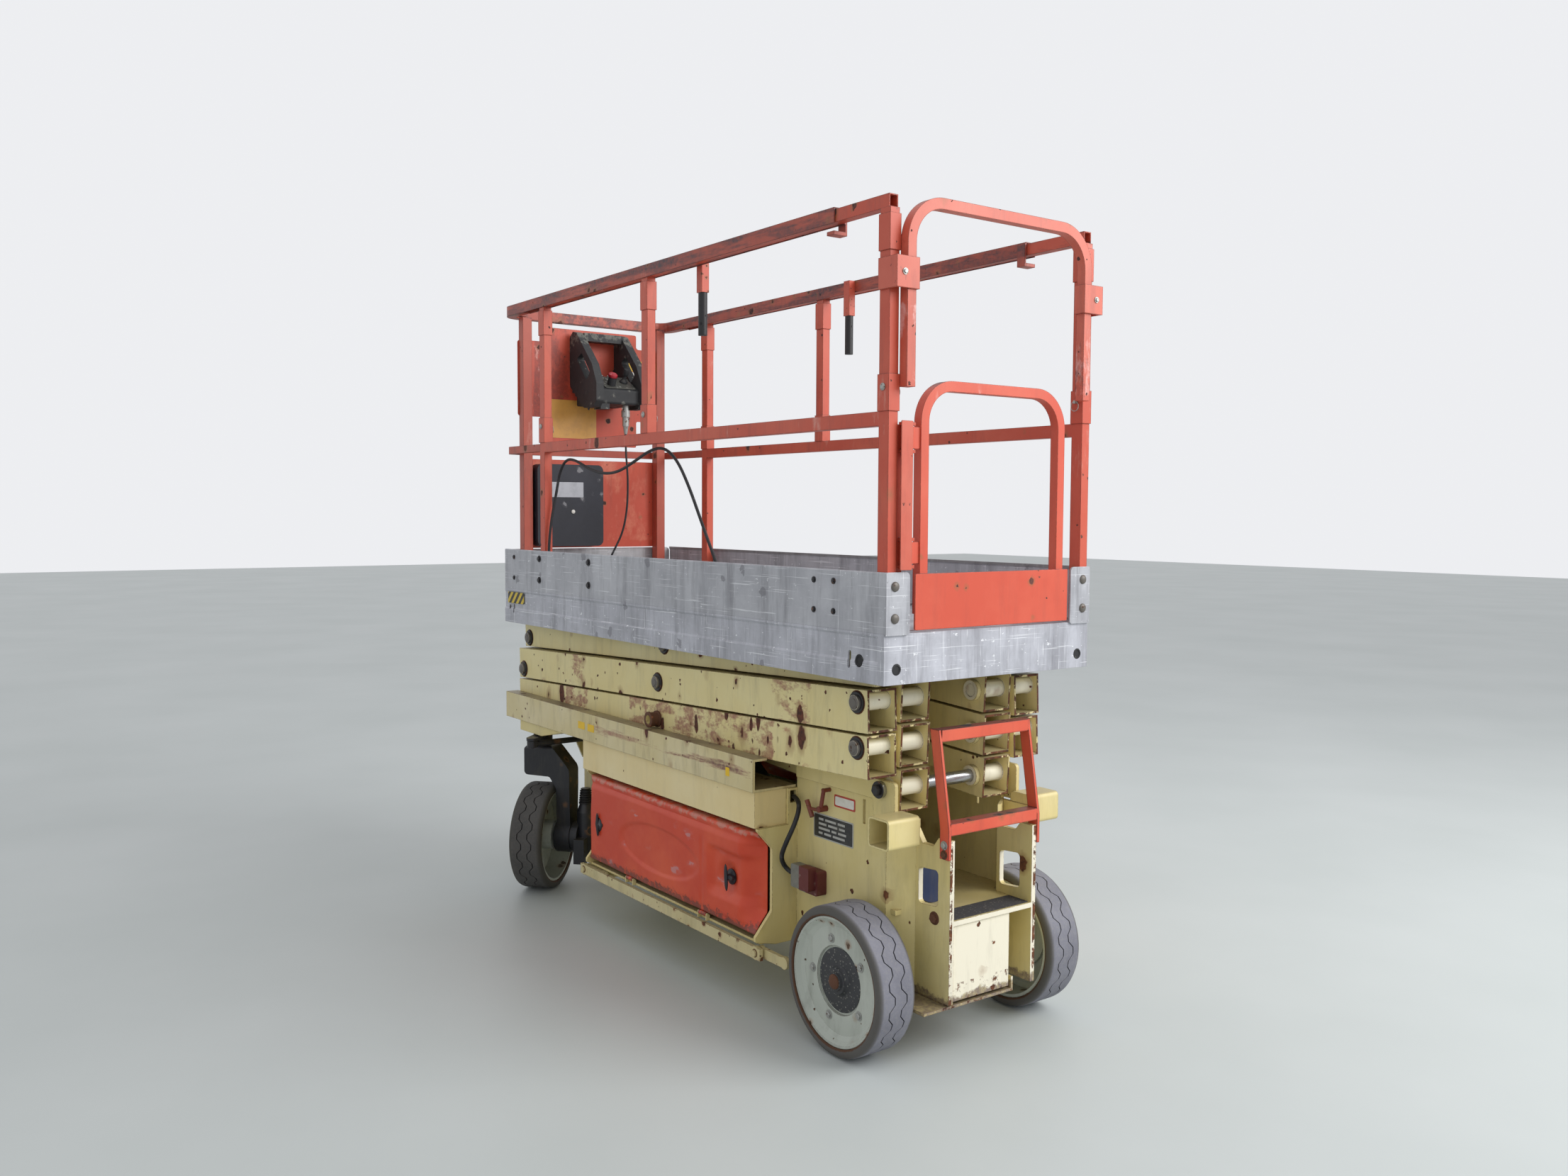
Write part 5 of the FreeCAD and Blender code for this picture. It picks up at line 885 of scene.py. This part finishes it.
# Guard rails: square steel tube in orange enamel, faded to salmon and greasy black on top
# where gloves and ropes have run along it.
everywhere = ((-2, -2, -1), (2, 2, 3))
rail_look = dict(rust="#7d4a3d", deep="#33262a", edge=0.003, dust="#453638")
streaky = (12.0, 12.0, 3.0)
rail_enamel = worn_paint("faded_orange_enamel", "#c9523b", "#d2634b", share=0.10, spot=0.04, tall=1.6, grime=0.4,
                         topped=0.9, zones=[(*everywhere, "#d99384", 0.60, streaky),
                                            ((-2, -1, 2.12), (2, 1, 2.5), "#7d4038", 0.50, (3.0, 20.0, 20.0)),
                                            ((-2, -1, 2.17), (2, 1, 2.5), "#40333a", 0.54, (3.0, 20.0, 20.0))],
                         edge_level=0.40, **rail_look)
top_enamel = worn_paint("greasy_orange_enamel", "#b04e3b", "#c05c48", share=0.16, spot=0.045, grime=0.6, topped=0.95,
                        zones=[(*everywhere, "#d08f80", 0.61, streaky),
                               ((-2, -1, 2.12), (2, 1, 2.5), "#6b3a38", 0.46, (3.0, 20.0, 20.0)),
                               ((-2, -1, 2.14), (2, 1, 2.5), "#3c3037", 0.53, (3.0, 20.0, 20.0))],
                        edge_level=0.36, **rail_look)
gate_enamel = worn_paint("bright_orange_enamel", "#d5553d", "#de654c", share=0.03, spot=0.035, small=0.2, grime=0.18,
                         topped=0.85, edge_level=0.42,
                         zones=[((-1.3, -0.36, 1.10), (-1.0, 0.12, 1.225), "#f3cfc6", 0.50, (25.0, 25.0, 25.0)),
                                ((-1.3, -0.5, 1.70), (-1.0, 0.5, 2.0), "#3f3036", 0.57, (9.0, 9.0, 30.0)),
                                ((-1.3, -0.5, 1.28), (-1.0, 0.5, 2.0), "#e89a8c", 0.61, streaky)], **rail_look)
hoop_enamel = worn_paint("rubbed_orange_enamel", "#cf5f4a", "#da735e", share=0.2, spot=0.05, tall=1.8, grime=0.35,
                         topped=0.9, edge_level=0.38,
                         zones=[((-1.3, -0.5, 1.70), (-1.0, 0.5, 2.06), "#e9b0a8", 0.50, (16.0, 16.0, 6.0)),
                                ((-1.3, -0.5, 2.17), (-1.0, 0.5, 2.4), "#2e2f39", 0.50, (7.0, 7.0, 12.0)),
                                ((-1.3, -0.5, 1.6), (-1.0, 0.5, 2.25), "#3d343a", 0.585, (14.0, 14.0, 7.0))],
                         **rail_look)
panel_enamel = worn_paint("orange_panel_enamel", "#cb4d35", "#d55c43", rust="#5b3a34", deep="#33282a",
                          share=0.08, spot=0.03, edge=0.002, grime=0.3, dust="#5a3a35",
                          zones=[((1.0, 0.0, 1.75), (1.3, 0.34, 2.4), "#8e3a2d", 0.43, (6.0, 6.0, 3.0)),
                                 ((1.0, 0.10, 1.75), (1.3, 0.5, 2.2), "#e0a89a", 0.57, (30.0, 30.0, 12.0)),
                                 ((1.0, -0.4, 1.25), (1.3, 0.4, 1.75), "#dc7a5e", 0.50, (6.0, 6.0, 3.0))])
dress(rail_enamel, "side_rails", "gate_post")
dress(top_enamel, "extension_rails")
dress(gate_enamel, "gate")
dress(hoop_enamel, "entry_hoop")
dress(panel_enamel, "front_panel")


# Hinge guard of the gate: a flat strip of the same orange steel beside the rear left post.
# It is welded on over the hinge.
strip = slab((-1.1623, 0.3215, 1.5015), (0, -1, 0), (0, 0, 1), (0.039, 0.375, 0.0022), 0.003, 0.0006)
build("gate_hinge_guard", [strip], hoop_enamel, "platform")


# Lock pins of the folding rails: plated pins pushed through each knee, with a wire ring at the inner end,
# and one bolt through each clamp that holds the entry hoop.
def ring(centre, radius, wire, normal):
    """Wire ring: a small circle carried round a large one."""
    turn = np.linspace(0, 2 * math.pi, 12, endpoint=False)
    profile = np.stack([wire * np.cos(turn), radius + wire * np.sin(turn)], -1)
    return lathe(profile, 28, centre, normal, close=True)


knee_height = 1.772
pin_head = [(0, 0), (0, 0.0095), (0.0022, 0.0095), (0.0030, 0.0070), (0.0045, 0.0055), (0.0048, 0)]
pin_tail = [(0, 0), (0, 0.005), (0.010, 0.005), (0.011, 0.004), (0.011, 0)]
pins = []
for side in (1, -1):
    for x in (-1.131, 0.064, 0.826):
        pins.append(lathe(pin_head, 16, (x, side * 0.3752, knee_height), (0, side, 0)))
        pins.append(lathe(pin_tail, 14, (x, side * 0.3385, knee_height), (0, -side, 0)))
        pins.append(ring((x, side * 0.3310, knee_height - 0.012), 0.0135, 0.0011, (0, side, 0)))
build("rail_pins", pins, zinc_steel, "platform")
clamp_bolts = []
for side in (1, -1):
    clamp_bolts += bolt((-1.1846, side * 0.352, 2.051), (-1, 0, 0), 0.006)
build("clamp_bolts", clamp_bolts, zinc_steel, "platform")


# Signs on the front panel: an ochre sheet below the controls, and three white panes under a yellow band
# beside them. They are blank printed film, glued on.
ochre_film = film("ochre_sign_film", "#dda44e", "#bd8a48")
sign_x = 1.1378
ochre = slab((sign_x, 0.0875, 1.8285), (0, 1, 0), (0, 0, -1), (0.211, 0.153, 0.0007), 0.003, 0.0002)
build("ochre_sign", [ochre], ochre_film, "extension")
band = slab((sign_x, -0.226, 2.0605), (0, 1, 0), (0, 0, -1), (0.178, 0.043, 0.0007), 0.003, 0.0002)
build("yellow_band", [band], yellow_film, "extension")
panes = [slab((sign_x, -0.226, z), (0, 1, 0), (0, 0, -1), (0.178, height, 0.0007), 0.003, 0.0002)
         for z, height in ((2.010, 0.053), (1.962, 0.038), (1.9105, 0.060))]
build("white_sign", panes, white_film, "extension")


# Control box: black moulded case in a chunky bumper frame, grey with dust, its top plate rubbed to
# bare metal. A red mushroom button, a lever in a boot and three toggles stand on it.
grey_plastic = moulded_skin("dusty_black_moulding", "#2b2c2e", "#3a3b3b", "#8f8f86", 0.5, 0.022, 0.6,
                            bands=[(2.06, 2.14, "#7b7b72", 0.82)])
dress(grey_plastic, "control_box")
dress(zinc_steel, "control_connector")
worn_top = plain_metal("rubbed_top_plate", "#55554f", 0.5, 0.2, "#9c9c94", 0.6, 0.012)
top_slope = Vector((0.100, 0, 0.058)).normalized()
top_plate = slab((0.9815, -0.0240, 1.9692), (0, -1, 0), top_slope, (0.138, 0.104, 0.0022), 0.006, 0.0008)
build("control_top_plate", [top_plate], worn_top, "extension")
top_normal = Vector((-0.5017, 0, 0.8650))
red_plastic = moulded_skin("red_moulded_plastic", "#a8202e", "#b92f3a", "#d6a5a2", 0.2, 0.01, 0.32)
mushroom = [(0.0, 0), (0.0, 0.0185), (0.004, 0.0195), (0.010, 0.0185), (0.014, 0.0140), (0.0155, 0.0080),
            (0.016, 0)]
build("stop_button", [lathe(mushroom, 36, (0.9500, 0.008, 1.9900), top_normal)], red_plastic, "extension")
ribs = []
for side, face in ((1, 0.1002), (-1, -0.1322)):
    for i in range(6):
        spot = (1.098 - i * 0.026, face, 1.972 - i * 0.017)
        ribs.append(slab(spot, (-side * 0.35, 0, 0.94), (-0.94, 0, -0.35), (0.085 - 0.004 * i, 0.011, 0.0035),
                         0.003, 0.001))
build("bumper_ribs", ribs, grey_plastic, "extension")
lever = [(0, 0), (0, 0.017), (0.005, 0.0165), (0.011, 0.010), (0.022, 0.0065), (0.030, 0.0060), (0.034, 0.0105),
         (0.050, 0.0120), (0.057, 0.0095), (0.060, 0)]
lever_spot = Vector((0.985, -0.060, 1.9732)) + top_normal * 0.0005
build("drive_lever", [lathe(lever, 28, lever_spot, top_normal)], matt_rubber, "extension")
toggle = [(0, 0), (0, 0.0075), (0.003, 0.0070), (0.004, 0.0028), (0.017, 0.0034), (0.019, 0)]
toggles = [lathe(toggle, 16, (1.000, y, 1.9822), top_normal) for y in (-0.020, 0.006, 0.032)]
build("control_toggles", toggles, zinc_steel, "extension")


# Papers box: matt black plastic moulded in a rounded outline and scuffed white, screwed to the panel.
# It has a blank grey label and a pale latch nub.
papers_plastic = moulded_skin("matt_black_moulding", "#1c1e27", "#262833", "#a9a9ac", 0.14, 0.035, 0.5)
dress(papers_plastic, "document_box")
card = slab((1.0778, 0.146, 1.5435), (0, 1, 0), (0, 0, -1), (0.148, 0.060, 0.0006), 0.002, 0.0002)
build("papers_label", [card], film("grey_label_film", "#b9bcc2", "#8d9097"), "extension")
nub = [(0, 0), (0, 0.008), (0.003, 0.0078), (0.005, 0.005), (0.0055, 0)]
build("papers_latch", [lathe(nub, 20, (1.0779, 0.118, 1.456), (-1, 0, 0))], white_film, "extension")


# Hanging handles: steel brackets in orange enamel, bolted under the top rails. Black rubber grips are pulled
# over their lower ends.
handle_enamel = worn_paint("orange_enamel_on_bracket", "#c9533d", "#d5644c", share=0.4, spot=0.02, grime=0.4,
                           **rail_look)
dress(two_tone(handle_enamel, 2, 2.1305, 2.1295, ("#1d1c1e", "#1d1c1e")), "deck_handles")


# Cables: black neoprene jackets. One hangs from the control box, one is tied under the left
# mid rail, and the battery lead hangs in a short bow between the frame and its plug.
jacket = moulded_skin("black_neoprene", "#17171a", "#212124", "#4a494b", 0.4, 0.02, 0.5)


def cable(name, node, body, route, diameter):
    """Round cable: a NURBS line of order three through the route's control points, given a bevel."""
    curve = bpy.data.curves.new(name, "CURVE")
    curve.dimensions = "3D"
    curve.bevel_depth = diameter / 2
    curve.bevel_resolution = 4
    curve.use_fill_caps = True
    spline = curve.splines.new("NURBS")
    spline.points.add(len(route) - 1)
    spline.points.foreach_set("co", np.array([(*p, 1) for p in route], float).ravel())
    spline.order_u = 3
    spline.use_endpoint_u = True
    spline.resolution_u = 8
    curve.materials.append(jacket)
    line = bpy.data.objects.new(name, curve)
    scene.collection.objects.link(line)
    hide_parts(node)
    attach(line, body)


lead_route = [(-0.583, 0.239, 0.622), (-0.614, 0.243, 0.618), (-0.640, 0.262, 0.590), (-0.646, 0.288, 0.546),
              (-0.632, 0.304, 0.500), (-0.598, 0.298, 0.448), (-0.597, 0.268, 0.406), (-0.6287, 0.268, 0.406)]
cable("battery_lead", "chassis_cable", "chassis", lead_route, 0.014)

control_top = (0.970, -0.062, 1.7667)
control_drop = 0.6024
control_bends = [(0, 0, 0), (0, 0, 0.12), (-8, -4, 0.25), (-10, -4, 0.38), (-12, 2, 0.51), (-8, 18, 0.65),
                 (4, 48, 0.76), (14, 76, 0.86), (14, 76, 1)]
control_route = [(control_top[0] + dx / 1000, control_top[1] + dy / 1000, control_top[2] - share * control_drop)
                 for dx, dy, share in control_bends]
cable("control_lead", "control_cable", "extension", control_route, 0.008)

rail_foot = (0.823, 0.372, 1.1533)
rail_rise = 0.5587
rail_bends = [(-31, -8, 0), (-31, -8, 0.17), (-33, -10, 0.35), (-37, -20, 0.51), (-41, -36, 0.66), (-59, -41, 0.80),
              (-111, -41, 0.885), (-183, -41, 0.88), (-283, -42, 0.82), (-393, -42, 0.78), (-503, -42, 0.785),
              (-613, -41, 0.84), (-723, -41, 0.905), (-813, -41, 0.92), (-893, -42, 0.845), (-963, -44, 0.69),
              (-1023, -48, 0.51), (-1085, -54, 0.32), (-1141, -60, 0.155), (-1147, -61, 0)]
rail_route = [(rail_foot[0] + dx / 1000, rail_foot[1] + dy / 1000, rail_foot[2] + share * rail_rise)
              for dx, dy, share in rail_bends]
cable("rail_lead", "rail_cable", "platform", rail_route, 0.010)
